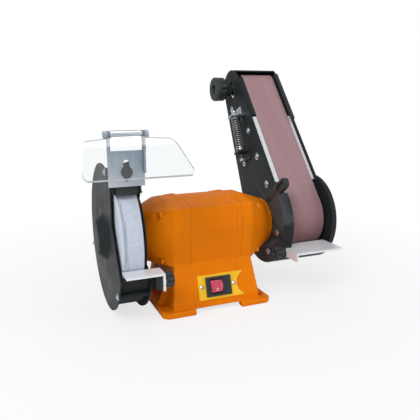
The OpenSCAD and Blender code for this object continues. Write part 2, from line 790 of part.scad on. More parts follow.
module shield_bracket_bolt() color(dark) on_bracket() {
    cylinder(h = bracket_washer[1], r = bracket_washer[0]);
    translate([0, 0, bracket_washer[1]]) cylinder(h = bracket_head[1], r = bracket_head[0], $fn = 6);
    translate([0, 0, -bracket_t - tab_t - 3]) cylinder(h = bracket_t + tab_t + 4, r = stud_r);
}
module shield_hinge_bolt() color(dark) translate([-wheel_x, pivot_y, pivot_z]) {
    half_w = bracket_w / 2;
    rod_x(-half_w - hinge_end, half_w + hinge_end, hinge_r);
    hex_x(half_w + fit, half_w + hinge_end, hinge_nut_af);
    hex_x(-half_w - hinge_end, -half_w - fit, hinge_nut_af);
}
// Side outline of the bent sheet from the pivot to its lower edge
module shield_side2d() {
    up = [0, shield_t];
    pivot = [pivot_y, pivot_z - shield_t / 2];
    polygon([pivot, shield_bend, shield_low, shield_low + up, shield_bend + up, pivot + up]);
}
module eye_shield() color([0.85, 0.92, 0.95, 0.4]) difference() {
    union() {
        intersection() {
            along_x(-wheel_x - shield_w, -wheel_x + shield_w) shield_side2d();
            translate([-wheel_x, 0, 0]) linear_extrude(ear_top + shield_t) {
                for (s = [0, 1]) mirror([s, 0]) polygon([[0, pivot_y], [shield_neck_w / 2, pivot_y],
                    [shield_neck_w / 2, pivot_y - neck_l], [shield_top_w / 2, pivot_y - neck_l - 5],
                    [shield_w / 2, shield_low[0] + shield_corner_r],
                    [shield_w / 2 - shield_corner_r, shield_low[0]], [0, shield_low[0]]]);
                for (s = [-1, 1]) translate([s * (shield_w / 2 - shield_corner_r),
                    shield_low[0] + shield_corner_r]) circle(shield_corner_r);
            }
        }
        translate([-wheel_x, pivot_y, pivot_z]) rod_x(-shield_neck_w / 2, shield_neck_w / 2, hinge_barrel_r);
    }
    at_yz([pivot_y, pivot_z]) rod_x(-wheel_x - shield_w, -wheel_x + shield_w, hinge_r + fit);
}

// Wheel rest
module rest_support() color(black) difference() {
    along_x(guard_x1 + fit, support_x1) {
        polygon([[support_bolt[0] + 6, support_bolt[1] - 5], [support_bolt[0] + 6, support_bolt[1] + 7],
            [rest_stud_y - 7, rest_z - rest_t - 1], [rest_stud_y - 7, rest_stud_z - 8]]);
        translate(support_bolt) circle(support_hub_r);
    }
    at_yz(support_bolt) rod_x(guard_x1 - eps, support_x1 + eps, stud_r + fit);
    at_yz([rest_stud_y, rest_stud_z]) rod_x(guard_x1 - eps, support_x1 + eps, stud_r + fit);
}
module rest_support_bolt() color(dark) at_yz(support_bolt) {
    rod_x(guard_x0 - support_head[1], support_x1 + 1, stud_r);
    hex_x(support_x1 + fit, support_x1 + support_nut_t, support_nut_af);
    rod_x(guard_x0 - support_head[1], guard_x0 - fit, support_head[0]);
}
module wheel_tool_rest() color(zinc) difference() {
    union() {
        translate([rest_x0, rest_front_y, rest_z - rest_t]) cube([rest_leg_x1 - rest_x0, rest_depth, rest_t]);
        along_x(rest_leg_x0, rest_leg_x1) translate([rest_front_y, rest_leg_z])
            square([rest_depth, rest_z - rest_leg_z]);
    }
    at_yz([rest_stud_y + rest_travel / 2, rest_stud_z]) along_x(rest_leg_x0 - eps, rest_leg_x1 + eps)
        rotate(90) slot2d(stud_r + run, rest_travel + 4);
}
module wheel_rest_knob() color(black) at_yz([rest_stud_y, rest_stud_z]) {
    knob_x0 = rest_leg_x1 + knob_washer_t;
    fluted_knob(knob_x0 + run, knob_x0 + rest_knob_l, knob_d, knob_flutes);
    rod_x(rest_leg_x1 + run, knob_x0 + run, knob_boss_r);
    rod_x(guard_x1 + 1, rest_leg_x1 + 2, stud_r);
}

// Arm pivot
module arm_clamp_ring() color(zinc) difference() {
    at_shaft() tube_x(spigot_x1 + fit, spigot_x1 + ring_t, ring_r, shaft_hole_r);
    mount_spots(ring_screw_r) rod_x(spigot_x1 - eps, spigot_x1 + 2 * ring_t, screw_r + fit);
}
module arm_clamp_screws() color(zinc) mount_spots(ring_screw_r) {
    rod_x(spigot_x1 - clamp_screw_l, spigot_x1 + ring_t + fit, screw_r);
    rod_x(spigot_x1 + ring_t + fit, spigot_x1 + ring_t + screw_seat_t, screw_head_r - 0.5);
}

// Arm plates and guards, drawn upright about the shaft
module half_below(a) translate([-2 * drum_guard_r, a - 4 * drum_guard_r]) square(4 * drum_guard_r);
module spacer_spots() for (a = spacer_angles) at_yz(ring_point(a, spacer_ring_r)) children();
module drum_guard() color(black) difference() {
    union() {
        in_arm() {
            along_x(drum_wall_x0, drum_wall_x1) {
                intersection() {
                    circle(drum_guard_r);
                    half_below(rim_cut_a);
                }
                circle(ring_r + 4);
            }
            along_x(drum_wall_x0, rim_x1) intersection() {
                ring2d(drum_guard_r, drum_guard_r - rim_t);
                half_below(rim_cut_a);
            }
            along_x(rim_x1 - eps, outer_x0) intersection() {
                ring2d(drum_guard_r, drum_guard_r - rim_t);
                half_below(rim_cut_a);
                sector2d(drum_guard_r, band_from - arm_lean, band_to);
            }
        }
        along_x(drum_wall_x0, drum_wall_x1) translate(belt_stud) circle(stud_boss_r);
    }
    at_shaft() rod_x(drum_wall_x0 - eps, drum_wall_x1 + eps, spigot_r + run);
    in_arm() spacer_spots() rod_x(drum_wall_x0 - eps, drum_wall_x1 + eps, screw_r + fit);
    at_yz(belt_stud) rod_x(drum_wall_x0 - eps, drum_wall_x1 + eps, stud_r + fit);
}
module plate2d(front) {
    circle(foot_circle_r);
    translate(arm_point(head_n, idler_a + 2)) circle(head_r);
    polygon([arm_point(front, 18), arm_point(front, idler_a + 2), arm_point(head_n - head_r, idler_a + 6),
        arm_point(back_low[0], back_low[1]), arm_point(-foot_circle_r, 0)]);
}
// Cuts in a tilted outline of the slide, turned into the arm's outline
module slide2d() translate([-idler_n, idler_a]) rotate(slide_tilt) children();
module arm_plate() color(black) in_arm() difference() {
    union() {
        along_x(arm_x0, arm_x1) plate2d(front_n);
        along_x(arm_x1 - eps, arm_x1 + left_lip_w) translate(arm_point(front_n, left_lip_a))
            square([lip_t, left_lip_l]);
    }
    along_x(arm_x0 - eps, arm_x1 + eps) {
        circle(hub_hole_r);
        slide2d() translate([4, -tension_travel / 2]) slot2d(9, tension_travel);
        slide2d() translate([-rod_n, spring_top_z + tongue_t / 2 - tension_travel / 2])
            square([tongue_w + 2 * run, tongue_t + tension_travel + 2 * run], center = true);
        translate(arm_point(lever_n, lever_a)) circle(lever_pin_r + run);
        for (p = pin_spots) slide2d() translate([-p[0], p[1]]) circle(screw_r + fit);
        for (a = platen_screw_a) translate(arm_point(platen_screw_n, a)) circle(screw_r + fit);
    }
    spacer_spots() rod_x(arm_x0 - eps, arm_x1 + eps, screw_r + fit);
}
module arm_spacers() color(zinc) in_arm() spacer_spots() {
    rod_x(drum_wall_x1 + fit, arm_x0 - fit, spacer_r);
    rod_x(drum_wall_x0 - screw_seat_t, arm_x1 + screw_seat_t, screw_r);
    rod_x(drum_wall_x0 - screw_seat_t - fit, drum_wall_x0 - fit, screw_head_r);
    rod_x(arm_x1 + fit, arm_x1 + screw_seat_t, screw_head_r - 0.6);
}
module post_places() for (p = post_spots) at_yz(arm_point(p[0], p[1])) children();
module outer_cover() color(black) in_arm() difference() {
    union() {
        along_x(outer_x0, outer_x1) {
            circle(drum_guard_r);
            plate2d(front_n);
            translate(arm_point(outer_front_n, right_lip_a))
                square([outer_front_n - front_n + 1, right_lip_l]);
        }
        along_x(lip_x0, outer_x0 + eps) {
            translate(arm_point(outer_front_n, right_lip_a)) square([lip_t, right_lip_l]);
            intersection() {
                ring2d(drum_guard_r, drum_guard_r - rim_t);
                sector2d(drum_guard_r, band_from - arm_lean + 2, 25);
            }
        }
    }
    post_places() rod_x(outer_x0 - eps, outer_x1 + eps, screw_r + fit);
}
module cover_posts() color(zinc) in_arm() post_places() difference() {
    rod_x(arm_x1 + fit, outer_x0 - fit, post_r);
    rod_x(outer_x0 - cover_screw_l - hole_past, outer_x0, screw_r + fit);
}
module outer_cover_screws() color(zinc) in_arm() post_places() {
    rod_x(outer_x0 - cover_screw_l, outer_x1 + fit, screw_r);
    rod_x(outer_x1 + fit, outer_x1 + screw_head_t, screw_head_r);
}
module top_hood() color(black) in_arm() translate([0, -idler_n, idler_a])
    along_x(arm_x1 + fit, outer_x0 - fit) intersection() {
        ring2d(hood_r, hood_in_r);
        sector2d(hood_r, hood_from, hood_to);
    }
module platen() color(steel) in_arm() difference() {
    platen_l = platen_a1 - platen_a0;
    translate(concat([0], arm_point(platen_n1, platen_a0))) {
        along_x(platen_x0 + fit, platen_x1) square([platen_t, platen_l]);
        along_x(platen_x0 + fit, platen_x0 + platen_flange_t) square([platen_n1 - platen_flange_n, platen_l]);
    }
    platen_screw_spots() rod_x(platen_x0 - eps, platen_x0 + 2 * platen_flange_t, screw_r + fit);
}
module platen_screw_spots() for (a = platen_screw_a) at_yz(arm_point(platen_screw_n, a)) children();
module platen_screws() color(zinc) in_arm() platen_screw_spots()
    dome_screw(arm_x0 - fit, platen_x0 + 3 * platen_flange_t);
// Closed loop round the drum and the idler, in steps of belt_step degrees
belt_step = 5;
function arc_points(mid, r, a0, a1) = let (n = ceil(abs(a1 - a0) / belt_step))
    [for (i = [0:n]) mid + ring_point(a0 + (a1 - a0) * i / n, r)];
module loop2d(r_drum, r_idler) polygon(concat(
    arc_points([0, 0], r_drum, -180 - belt_back_angle, 0),
    arc_points(arm_point(idler_n, idler_a), r_idler, 0, 180 - belt_back_angle)));
module sanding_belt() color([0.6, 0.47, 0.48]) in_arm() along_x(belt_x, belt_x1) difference() {
    loop2d(belt_r, idler_belt_r);
    loop2d(belt_in_r, idler_belt_in_r);
}

// Idler slide
module slide_pins() color(zinc) in_slide() for (p = pin_spots) at_yz([-p[0], p[1]]) {
    rod_x(arm_x1 + fit, slide_x1 + run, pin_r);
    rod_x(slide_x1 + run, slide_x1 + run + pin_head_t, pin_head_r);
    dome_screw(arm_x0 - fit, arm_x1 + fit);
}
module slide_plate() color(steel) in_slide() difference() {
    along_x(slide_x0, slide_x1) {
        circle(slide_top_r);
        translate([-slide_top_r + 1, -48]) square([22 + slide_top_r - 1, 34]);
        translate([-4, slide_low_z]) square([17, -slide_low_z - 40]);
    }
    for (p = pin_spots) along_x(slide_x0 - eps, slide_x1 + eps) translate([-p[0], p[1] + tension_travel / 2])
        slot2d(pin_r + run, tension_travel);
    rod_x(slide_x0 - eps, slide_x1 + eps, axle_r + 1);
    at_yz([-track_n, 0]) rod_x(slide_x0 - eps, slide_x1 + eps, track_stud_r + run);
}
module on_rod(z) translate([rod_x_pos, -rod_n, z]) children();
module upper_spring_bracket() color(zinc) in_slide() difference() {
    union() {
        translate([tongue_x0, -rod_n - tongue_w / 2, spring_top_z])
            cube([slide_x0 - fit - tongue_x0, tongue_w, tongue_t]);
        translate([arm_x0 - run - upper_foot_t, -rod_n - tongue_w / 2, spring_top_z])
            cube([upper_foot_t, tongue_w, bracket_foot_h]);
    }
    on_rod(spring_top_z - eps) cylinder(h = tongue_t + 2 * eps, r = rod_r + fit);
}
module lower_spring_bracket() color(black) in_slide() difference() {
    union() {
        translate([tongue_x0, -rod_n - tongue_w / 2, spring_bottom_z - tongue_t])
            cube([arm_x0 - fit - tongue_x0, tongue_w, tongue_t]);
        translate([arm_x0 - fit - lower_foot_t, -rod_n - tongue_w / 2, spring_bottom_z - bracket_foot_h])
            cube([lower_foot_t, tongue_w, bracket_foot_h]);
    }
    on_rod(spring_bottom_z - tongue_t - eps) cylinder(h = tongue_t + 2 * eps, r = rod_r + run);
}
module tension_rod() color(zinc) in_slide() {
    on_rod(rod_low_z) cylinder(h = rod_top_z - rod_low_z, r = rod_r);
    for (z = [rod_low_z - rod_nut[1], spring_top_z + tongue_t + fit])
        on_rod(z) cylinder(h = rod_nut[1], r = rod_nut[0], $fn = 6);
}
// The spring is one tube wound about its rod
curl_rings = 8;
tube_sides = 6;
spring_r = (spring_od - spring_wire) / 2;
spring_z0 = spring_bottom_z + run + spring_wire / 2;
spring_pitch = (spring_l - spring_wire) / spring_turns;
curl_points = [for (i = [0:spring_turns * curl_rings]) let (t = i * 360 / curl_rings)
    [spring_r * cos(t), spring_r * sin(t), spring_z0 + spring_pitch * i / curl_rings]];
function curl_ring(i) = let (t = i * 360 / curl_rings)
    [for (k = [0:tube_sides - 1]) let (s = k * 360 / tube_sides)
        curl_points[i] + spring_wire / 2 * [cos(s) * cos(t), cos(s) * sin(t), sin(s)]];
spring_gap = min([for (i = [0:len(curl_points) - 1], j = [i + 6:1:min(i + 10, len(curl_points) - 1)])
    norm(curl_points[i] - curl_points[j])]) - spring_wire;
echo(spring_gap = spring_gap);
module tension_spring() color(steel) in_slide() on_rod(0) polyhedron(
    points = [for (i = [0:len(curl_points) - 1]) each curl_ring(i)],
    faces = concat(
        [for (i = [0:len(curl_points) - 2], k = [0:tube_sides - 1])
            let (n = (k + 1) % tube_sides, a = i * tube_sides, b = a + tube_sides)
            each [[a + k, a + n, b + k], [a + n, b + n, b + k]]],
        [for (k = [1:tube_sides - 2]) [0, k + 1, k]],
        let (e = (len(curl_points) - 1) * tube_sides) [for (k = [1:tube_sides - 2]) [e, e + k, e + k + 1]]));

// Idler
module idler_carrier() color([0.6, 0.61, 0.63]) in_slide() {
    rod_x(carrier_x0, carrier_x1, carrier_r);
    rod_x(slide_x0 + fit, carrier_x0 + eps, axle_r);
    rod_x(carrier_x1 - eps, axle_x1, axle_r);
    rod_x(axle_x1 - 1, axle_x1, clip_r);
}
module idler_roller() color([0.7, 0.71, 0.73]) in_slide() difference() {
    tube_x(drum_x0, drum_x1, idler_r, axle_r + 0.08);
    tube_x(drum_x0 - eps, drum_x0 + 2, idler_r - 2.5, axle_r + 3);
    tube_x(drum_x1 - 2, drum_x1 + eps, idler_r - 2.5, axle_r + 3);
}
module tracking_knob() color(black) in_slide() at_yz([-track_n, 0]) {
    fluted_knob(track_x0, track_x0 + track_knob_l, track_knob_d, track_flutes);
    rod_x(track_x0 + track_knob_l - 1, track_x1, track_neck_r);
    rod_x(track_x1 - eps, slide_x1, track_stud_r);
}

// Tension lever
module tension_lever() color(black) in_arm() at_yz(arm_point(lever_n, lever_a)) difference() {
    union() {
        rod_x(lever_x0, arm_x0 - run, lever_hub_r);
        rod_x(arm_x0 - run - eps, arm_x1 + 1, lever_pin_r);
        along_x(lever_x0, lever_x1) rotate(lever_turn) {
            translate([-lever_l + lever_w / 2, -lever_w / 2]) square([lever_l - lever_w / 2, lever_w]);
            translate([-lever_l + lever_w / 2, 0]) circle(lever_w / 2);
        }
    }
    along_x(lever_x0 - eps, lever_x0 + 2) rotate(lever_turn) translate([-lever_l + lever_w / 2 + 8, 0])
        rotate(90) slot2d(lever_w / 4, lever_dish_l);
}

// Belt rest with its clamp stud
module belt_tool_rest() color(zinc) difference() {
    union() {
        translate([belt_leg_x0, belt_rest_front, belt_rest_z - rest_t])
            cube([belt_rest_x1 - belt_leg_x0, belt_rest_rim_y - belt_rest_front, rest_t]);
        translate([belt_rest_x0, belt_rest_front, belt_rest_z - rest_t])
            cube([belt_rest_x1 - belt_rest_x0, belt_rest_back - belt_rest_front, rest_t]);
        along_x(belt_leg_x0, belt_leg_x0 + belt_leg_t) {
            translate(belt_stud) circle(belt_leg_r);
            polygon([[belt_stud[0], belt_stud[1] + belt_leg_r], [belt_rest_front, belt_rest_z - rest_t + eps],
                [belt_rest_front, belt_stud[1] - 4], [belt_stud[0], belt_stud[1] - belt_leg_r]]);
        }
    }
    at_yz(belt_stud) rod_x(belt_leg_x0 - eps, belt_leg_x0 + 5, stud_r + fit);
}

module belt_rest_knob() color(black) at_yz(belt_stud) {
    fluted_knob(belt_knob_x0, drum_wall_x0 - 1.5 - run, knob_d, knob_flutes);
    rod_x(drum_wall_x0 - 2, drum_wall_x0 - run, knob_boss_r);
    rod_x(drum_wall_x0 - 2, belt_leg_x0 + belt_leg_t + 2, stud_r);
}

motor_shell();
left_end_casting();
right_end_casting();
through_bolts();
stator_core();
stator_windings();
shaft_bearings();
bottom_plate();
capacitor();
terminal_block();
switch_plate();
switch_body();
switch_rocker();
switch_plate_screws();
cable_gland();
inner_guard();
guard_cover();
guard_cover_screws();
guard_mount_screws();
rest_support();
rest_support_bolt();
shield_bracket();
shield_bracket_bolt();
shield_hinge_bolt();
eye_shield();
wheel_tool_rest();
wheel_rest_knob();
motor_shaft();
rotor_core();
grinding_wheel();
wheel_flanges();
wheel_blotters();
wheel_nut();
drum_hub();
drum_tyre();
drum_nut();
arm_clamp_ring();
arm_clamp_screws();
drum_guard();
arm_plate();
arm_spacers();
outer_cover();
cover_posts();
outer_cover_screws();
top_hood();
platen();
platen_screws();
sanding_belt();
slide_pins();
slide_plate();
upper_spring_bracket();
lower_spring_bracket();
tension_rod();
tension_spring();
idler_carrier();
idler_roller();
tracking_knob();
tension_lever();
belt_tool_rest();
belt_rest_knob();
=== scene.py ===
import json
import math

import bmesh
import bpy
from bpy.props import FloatProperty, FloatVectorProperty, IntProperty, PointerProperty
from mathutils import Matrix, Vector


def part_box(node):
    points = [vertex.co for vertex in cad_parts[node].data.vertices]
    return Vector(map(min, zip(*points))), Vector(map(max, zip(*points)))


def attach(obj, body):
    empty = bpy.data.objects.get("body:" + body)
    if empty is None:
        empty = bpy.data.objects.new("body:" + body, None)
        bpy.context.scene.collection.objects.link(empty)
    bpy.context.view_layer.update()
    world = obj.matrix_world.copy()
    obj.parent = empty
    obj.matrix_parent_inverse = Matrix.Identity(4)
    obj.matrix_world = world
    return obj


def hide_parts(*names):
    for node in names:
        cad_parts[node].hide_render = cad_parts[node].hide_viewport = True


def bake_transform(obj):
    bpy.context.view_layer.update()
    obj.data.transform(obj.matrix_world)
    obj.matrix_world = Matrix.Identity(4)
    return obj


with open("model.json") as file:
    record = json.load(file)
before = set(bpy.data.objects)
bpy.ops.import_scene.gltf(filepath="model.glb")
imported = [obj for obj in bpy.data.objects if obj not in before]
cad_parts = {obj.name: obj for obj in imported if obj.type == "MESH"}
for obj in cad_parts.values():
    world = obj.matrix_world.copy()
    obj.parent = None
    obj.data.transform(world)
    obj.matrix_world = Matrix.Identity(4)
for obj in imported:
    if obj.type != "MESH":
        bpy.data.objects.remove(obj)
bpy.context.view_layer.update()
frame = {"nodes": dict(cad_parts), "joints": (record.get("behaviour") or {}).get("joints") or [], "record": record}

NODES = frame["nodes"]
JOINTS = {joint["name"]: joint for joint in frame["joints"]}
MM = 0.001

bl_info = {
    "name": "Bench grinder with belt sander arm",
    "version": (1, 0, 0),
    "blender": (4, 5, 0),
    "location": "3D View > Sidebar > Grinder",
    "description": "Builds the finished look of a bench grinder around its packed model",
    "category": "Object",
}


def mm(x, y, z):
    """A point given in millimetres."""
    return Vector((x * MM, y * MM, z * MM))


def centre_of(node):
    """The middle of a node's box, in metres."""
    low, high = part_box(node)
    return (low + high) / 2


SHAFT_Z = JOINTS["spindle_spin"]["pos_m"][2] / MM
SLIDE_AXIS = Vector(JOINTS["tension_slide"]["axis"]).normalized()
IDLER = Vector(JOINTS["idler_spin"]["pos_m"])
SHAFT = Vector((IDLER.x, 0.0, SHAFT_Z * MM))
SEAM = 30.0


class GrinderSizes(bpy.types.PropertyGroup):
    """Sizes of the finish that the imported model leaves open."""

    sheet_edge: FloatProperty(
        name="Sheet edge", description="Rounding of cut sheet edges", default=0.35 * MM, unit="LENGTH")
    plate_edge: FloatProperty(
        name="Plate edge", description="Rounding of the rest plates", default=0.45 * MM, unit="LENGTH")
    nut_edge: FloatProperty(
        name="Nut edge", description="Rounding of nuts and bolt heads", default=0.4 * MM, unit="LENGTH")
    lever_edge: FloatProperty(
        name="Lever edge", description="Rounding of the moulded lever", default=1.1 * MM, unit="LENGTH")
    cast_grid: FloatProperty(
        name="Casting grid", description="Cell size of the softened castings", default=1.05 * MM, unit="LENGTH")
    cast_rounds: IntProperty(
        name="Casting rounds", description="Smoothing passes over the castings", default=7)
    wheel_edge: FloatProperty(
        name="Wheel edge", description="Rounding of the wheel's rim", default=1.4 * MM, unit="LENGTH")
    shield_bend: FloatProperty(
        name="Shield bend", description="Radius of the bend in the clear shield", default=16 * MM, unit="LENGTH")
    coil_turns: FloatProperty(
        name="Coil turns", description="Turns of the tension spring", default=17.0)
    coil_wire: FloatProperty(
        name="Coil wire", description="Wire diameter of the tension spring", default=1.6 * MM, unit="LENGTH")
    idler_crown: FloatProperty(
        name="Idler crown", description="How much the idler falls off at its ends", default=0.9 * MM, unit="LENGTH")
    idler_room: FloatProperty(
        name="Idler room", description="Gap under the belt for the idler's tilt", default=0.7 * MM, unit="LENGTH")
    clamp_flutes: IntProperty(
        name="Clamp knob flutes", description="Flutes of the two clamp knobs", default=8)
    tracking_flutes: IntProperty(
        name="Tracking knob flutes", description="Flutes of the tracking knob", default=10)


def colour(label, rgb, words):
    """A colour property with its default."""
    return FloatVectorProperty(name=label, description=words, subtype="COLOR", size=3, default=rgb, min=0, max=1)


class GrinderColours(bpy.types.PropertyGroup):
    """Colours of the finishes, in linear light."""

    orange: colour("Orange paint", (0.80, 0.198, 0.001), "Paint of the castings")
    black: colour("Black coat", (0.018, 0.021, 0.022), "Powder coat of the sheet pieces")
    zinc: colour("Zinc", (0.60, 0.65, 0.71), "Zinc plating")
    steel: colour("Steel", (0.74, 0.75, 0.77), "Machined steel")
    oxide: colour("Black oxide", (0.035, 0.036, 0.04), "Blackened bolts")
    wheel: colour("Wheel grit", (0.56, 0.60, 0.70), "Bonded grit of the wheel")
    belt: colour("Belt grit", (0.335, 0.20, 0.215), "Coated grit of the belt")
    rubber: colour("Rubber", (0.02, 0.02, 0.021), "Drum tyre")
    plastic: colour("Black plastic", (0.022, 0.026, 0.026), "Knobs and lever")
    yellow: colour("Yellow plate", (0.92, 0.53, 0.006), "Switch plate")
    red: colour("Red rocker", (0.62, 0.05, 0.10), "Switch rocker")
    clear: colour("Clear sheet", (0.95, 0.975, 0.98), "Eye shield")
    copper: colour("Copper", (0.68, 0.28, 0.11), "Motor windings")
    core: colour("Core steel", (0.30, 0.30, 0.32), "Stacked motor sheets")
    white: colour("White plastic", (0.78, 0.78, 0.73), "Capacitor and terminals")
    card: colour("Card", (0.52, 0.09, 0.06), "Blotters of the wheel")


class Finish:
    """A procedural material on Object coordinates, or on the UV map of a piece."""

    def __init__(self, name, rgb, metallic=0.0, roughness=0.5, **sockets):
        self.material = bpy.data.materials.new(name)
        self.material.use_nodes = True
        self.tree = self.material.node_tree
        self.shader = self.tree.nodes["Principled BSDF"]
        self.coords = self.add("ShaderNodeTexCoord")
        self.rgb = tuple(rgb)
        self.put(self.shader, "Base Color", (*self.rgb, 1.0))
        self.put(self.shader, "Metallic", metallic)
        self.put(self.shader, "Roughness", roughness)
        for label, value in sockets.items():
            self.put(self.shader, label.replace("_", " "), value)

    def add(self, kind, **settings):
        node = self.tree.nodes.new(kind)
        for label, value in settings.items():
            setattr(node, label, value)
        return node

    def put(self, node, label, value):
        if isinstance(value, bpy.types.NodeSocket):
            self.tree.links.new(value, node.inputs[label])
        else:
            node.inputs[label].default_value = value

    def place(self, scale, uv=False):
        mapping = self.add("ShaderNodeMapping")
        self.put(mapping, "Vector", self.coords.outputs["UV" if uv else "Object"])
        self.put(mapping, "Scale", scale)
        return mapping.outputs["Vector"]

    def noise(self, scale, detail=3.0, stretch=(1, 1, 1), uv=False, rough=0.55):
        node = self.add("ShaderNodeTexNoise")
        self.put(node, "Vector", self.place(stretch, uv))
        self.put(node, "Scale", scale)
        self.put(node, "Detail", detail)
        self.put(node, "Roughness", rough)
        return node.outputs["Fac"]

    def cells(self, scale, output="Distance", stretch=(1, 1, 1), uv=False):
        node = self.add("ShaderNodeTexVoronoi")
        self.put(node, "Vector", self.place(stretch, uv))
        self.put(node, "Scale", scale)
        return node.outputs[output]

    def lines(self, scale, direction="X", distortion=0.0):
        node = self.add("ShaderNodeTexWave", bands_direction=direction)
        self.put(node, "Vector", self.coords.outputs["Object"])
        self.put(node, "Scale", scale)
        self.put(node, "Distortion", distortion)
        return node.outputs["Fac"]

    def axis(self, letter, uv=False):
        node = self.add("ShaderNodeSeparateXYZ")
        self.put(node, "Vector", self.coords.outputs["UV" if uv else "Object"])
        return node.outputs[letter]

    def ramp(self, value, low, high, start=0.0, end=1.0):
        node = self.add("ShaderNodeMapRange", clamp=True)
        self.put(node, "Value", value)
        self.put(node, "From Min", low)
        self.put(node, "From Max", high)
        self.put(node, "To Min", start)
        self.put(node, "To Max", end)
        return node.outputs["Result"]

    def sum(self, first, second, operation="ADD"):
        node = self.add("ShaderNodeMath", operation=operation)
        for socket, value in zip(node.inputs, (first, second)):
            if isinstance(value, bpy.types.NodeSocket):
                self.tree.links.new(value, socket)
            else:
                socket.default_value = value
        return node.outputs[0]

    def blend(self, factor, first, second):
        node = self.add("ShaderNodeMix", data_type="RGBA")
        sockets = (node.inputs[0], node.inputs[6], node.inputs[7])
        for socket, value in zip(sockets, (factor, first, second)):
            if isinstance(value, bpy.types.NodeSocket):
                self.tree.links.new(value, socket)
            elif isinstance(value, float):
                socket.default_value = value
            else:
                socket.default_value = (*value[:3], 1.0)
        return node.outputs[2]

    def shade_of(self, amount):
        return tuple(min(1.0, c * amount) for c in self.rgb)

    def set_colour(self, socket):
        self.put(self.shader, "Base Color", socket)

    def set_roughness(self, socket):
        self.put(self.shader, "Roughness", socket)

    def bump(self, *layers):
        """Stacks bumps given as (height, strength, distance in mm)."""
        normal = None
        for height, strength, distance in layers:
            node = self.add("ShaderNodeBump")
            self.put(node, "Height", height)
            self.put(node, "Strength", strength)
            self.put(node, "Distance", distance * MM)
            if normal is not None:
                self.put(node, "Normal", normal)
            normal = node.outputs["Normal"]
        self.put(self.shader, "Normal", normal)


def orange_paint(tint):
    f = Finish("orange_paint", tint, roughness=0.5, Specular_IOR_Level=0.07)
    clouds = f.ramp(f.noise(14, 3), 0.35, 0.65)
    body = f.blend(clouds, f.shade_of(0.93), f.shade_of(1.05))
    specks = f.ramp(f.noise(1500, 2), 0.56, 0.68, 0.0, 0.22)
    body = f.blend(specks, body, f.shade_of(0.72))
    edges = f.add("ShaderNodeNewGeometry").outputs["Pointiness"]
    # painted highlight: a lighter orange along the sharp edges, broken up by noise
    rubbing_and_edge_highlight = f.sum(f.ramp(edges, 0.515, 0.57), f.ramp(f.noise(90, 4), 0.35, 0.7), "MULTIPLY")
    body = f.blend(f.sum(rubbing_and_edge_highlight, 0.4, "MULTIPLY"), body, (0.93, 0.42, 0.06))
    # painted shade: a darker orange in creases and hollows
    crease_shade = f.ramp(edges, 0.485, 0.44, 0.0, 0.5)
    body = f.blend(crease_shade, body, f.shade_of(0.55))
    reach = f.sum(f.sum(f.axis("X"), 0.0, "ABSOLUTE"), SEAM * MM, "SUBTRACT")
    seam = f.ramp(f.sum(reach, 0.0, "ABSOLUTE"), 0.45 * MM, 0.2 * MM)
    f.set_colour(f.blend(f.sum(seam, 0.38, "MULTIPLY"), body, f.shade_of(0.4)))
    f.set_roughness(f.ramp(f.noise(60, 4), 0.3, 0.7, 0.4, 0.54))
    f.bump((f.noise(55, 3), 0.16, 0.9), (f.noise(520, 2), 0.14, 0.25), (f.noise(1900, 2), 0.1, 0.1),
           (seam, 0.6, -0.5))
    return f.material


def black_coat(tint):
    f = Finish("black_coat", tint, roughness=0.45, Specular_IOR_Level=0.1)
    dust = f.ramp(f.noise(11, 6, rough=0.65), 0.48, 0.75, 0.0, 0.35)
    body = f.blend(dust, f.rgb, f.shade_of(1.9))
    scuffs = f.ramp(f.noise(70, 5, (1, 0.12, 1.4)), 0.66, 0.74, 0.0, 0.3)
    edges = f.add("ShaderNodeNewGeometry").outputs["Pointiness"]
    # lighter grey along the sharp edges
    edge_lightening = f.ramp(edges, 0.53, 0.62, 0.0, 0.45)
    body = f.blend(scuffs, body, f.shade_of(2.6))
    f.set_colour(f.blend(edge_lightening, body, (0.10, 0.105, 0.108)))
    f.set_roughness(f.ramp(f.noise(35, 4), 0.3, 0.7, 0.34, 0.5))
    f.bump((f.noise(1300, 2), 0.32, 0.12), (f.noise(260, 2), 0.08, 0.2))
    return f.material


def zinc_plate(tint):
    f = Finish("zinc_plate", tint, metallic=1.0, roughness=0.34)
    spangle = f.cells(330, "Color")
    grain = f.noise(60, 4, (1, 9, 9))
    body = f.blend(f.ramp(grain, 0.3, 0.7), f.shade_of(0.86), f.shade_of(1.1))
    stain = f.ramp(f.noise(38, 5), 0.56, 0.78, 0.0, 0.35)
    f.set_colour(f.blend(stain, body, f.shade_of(0.72)))
    rough = f.sum(f.ramp(f.sum(spangle, 1.0, "MULTIPLY"), 0.0, 1.0, -0.03, 0.05), f.ramp(grain, 0.3, 0.7, 0.27, 0.4))
    f.set_roughness(rough)
    f.bump((f.noise(900, 2, (0.3, 4, 4)), 0.07, 0.08), (f.noise(220, 2), 0.05, 0.2))
    return f.material


def pale_zinc(tint):
    # painted light: a paler, less metallic copy of the zinc, so that the rests and the platen look brightly lit
    f = Finish("pale_zinc", (0.80, 0.83, 0.85), metallic=0.35, roughness=0.42)
    grain = f.noise(60, 4, (1, 9, 9))
    body = f.blend(f.ramp(grain, 0.3, 0.7), f.shade_of(0.93), f.shade_of(1.06))
    stain = f.ramp(f.noise(38, 5), 0.58, 0.8, 0.0, 0.25)
    f.set_colour(f.blend(stain, body, f.shade_of(0.78)))
    f.set_roughness(f.ramp(grain, 0.3, 0.7, 0.34, 0.5))
    f.bump((f.noise(900, 2, (0.3, 4, 4)), 0.07, 0.08), (f.noise(220, 2), 0.05, 0.2))
    return f.material


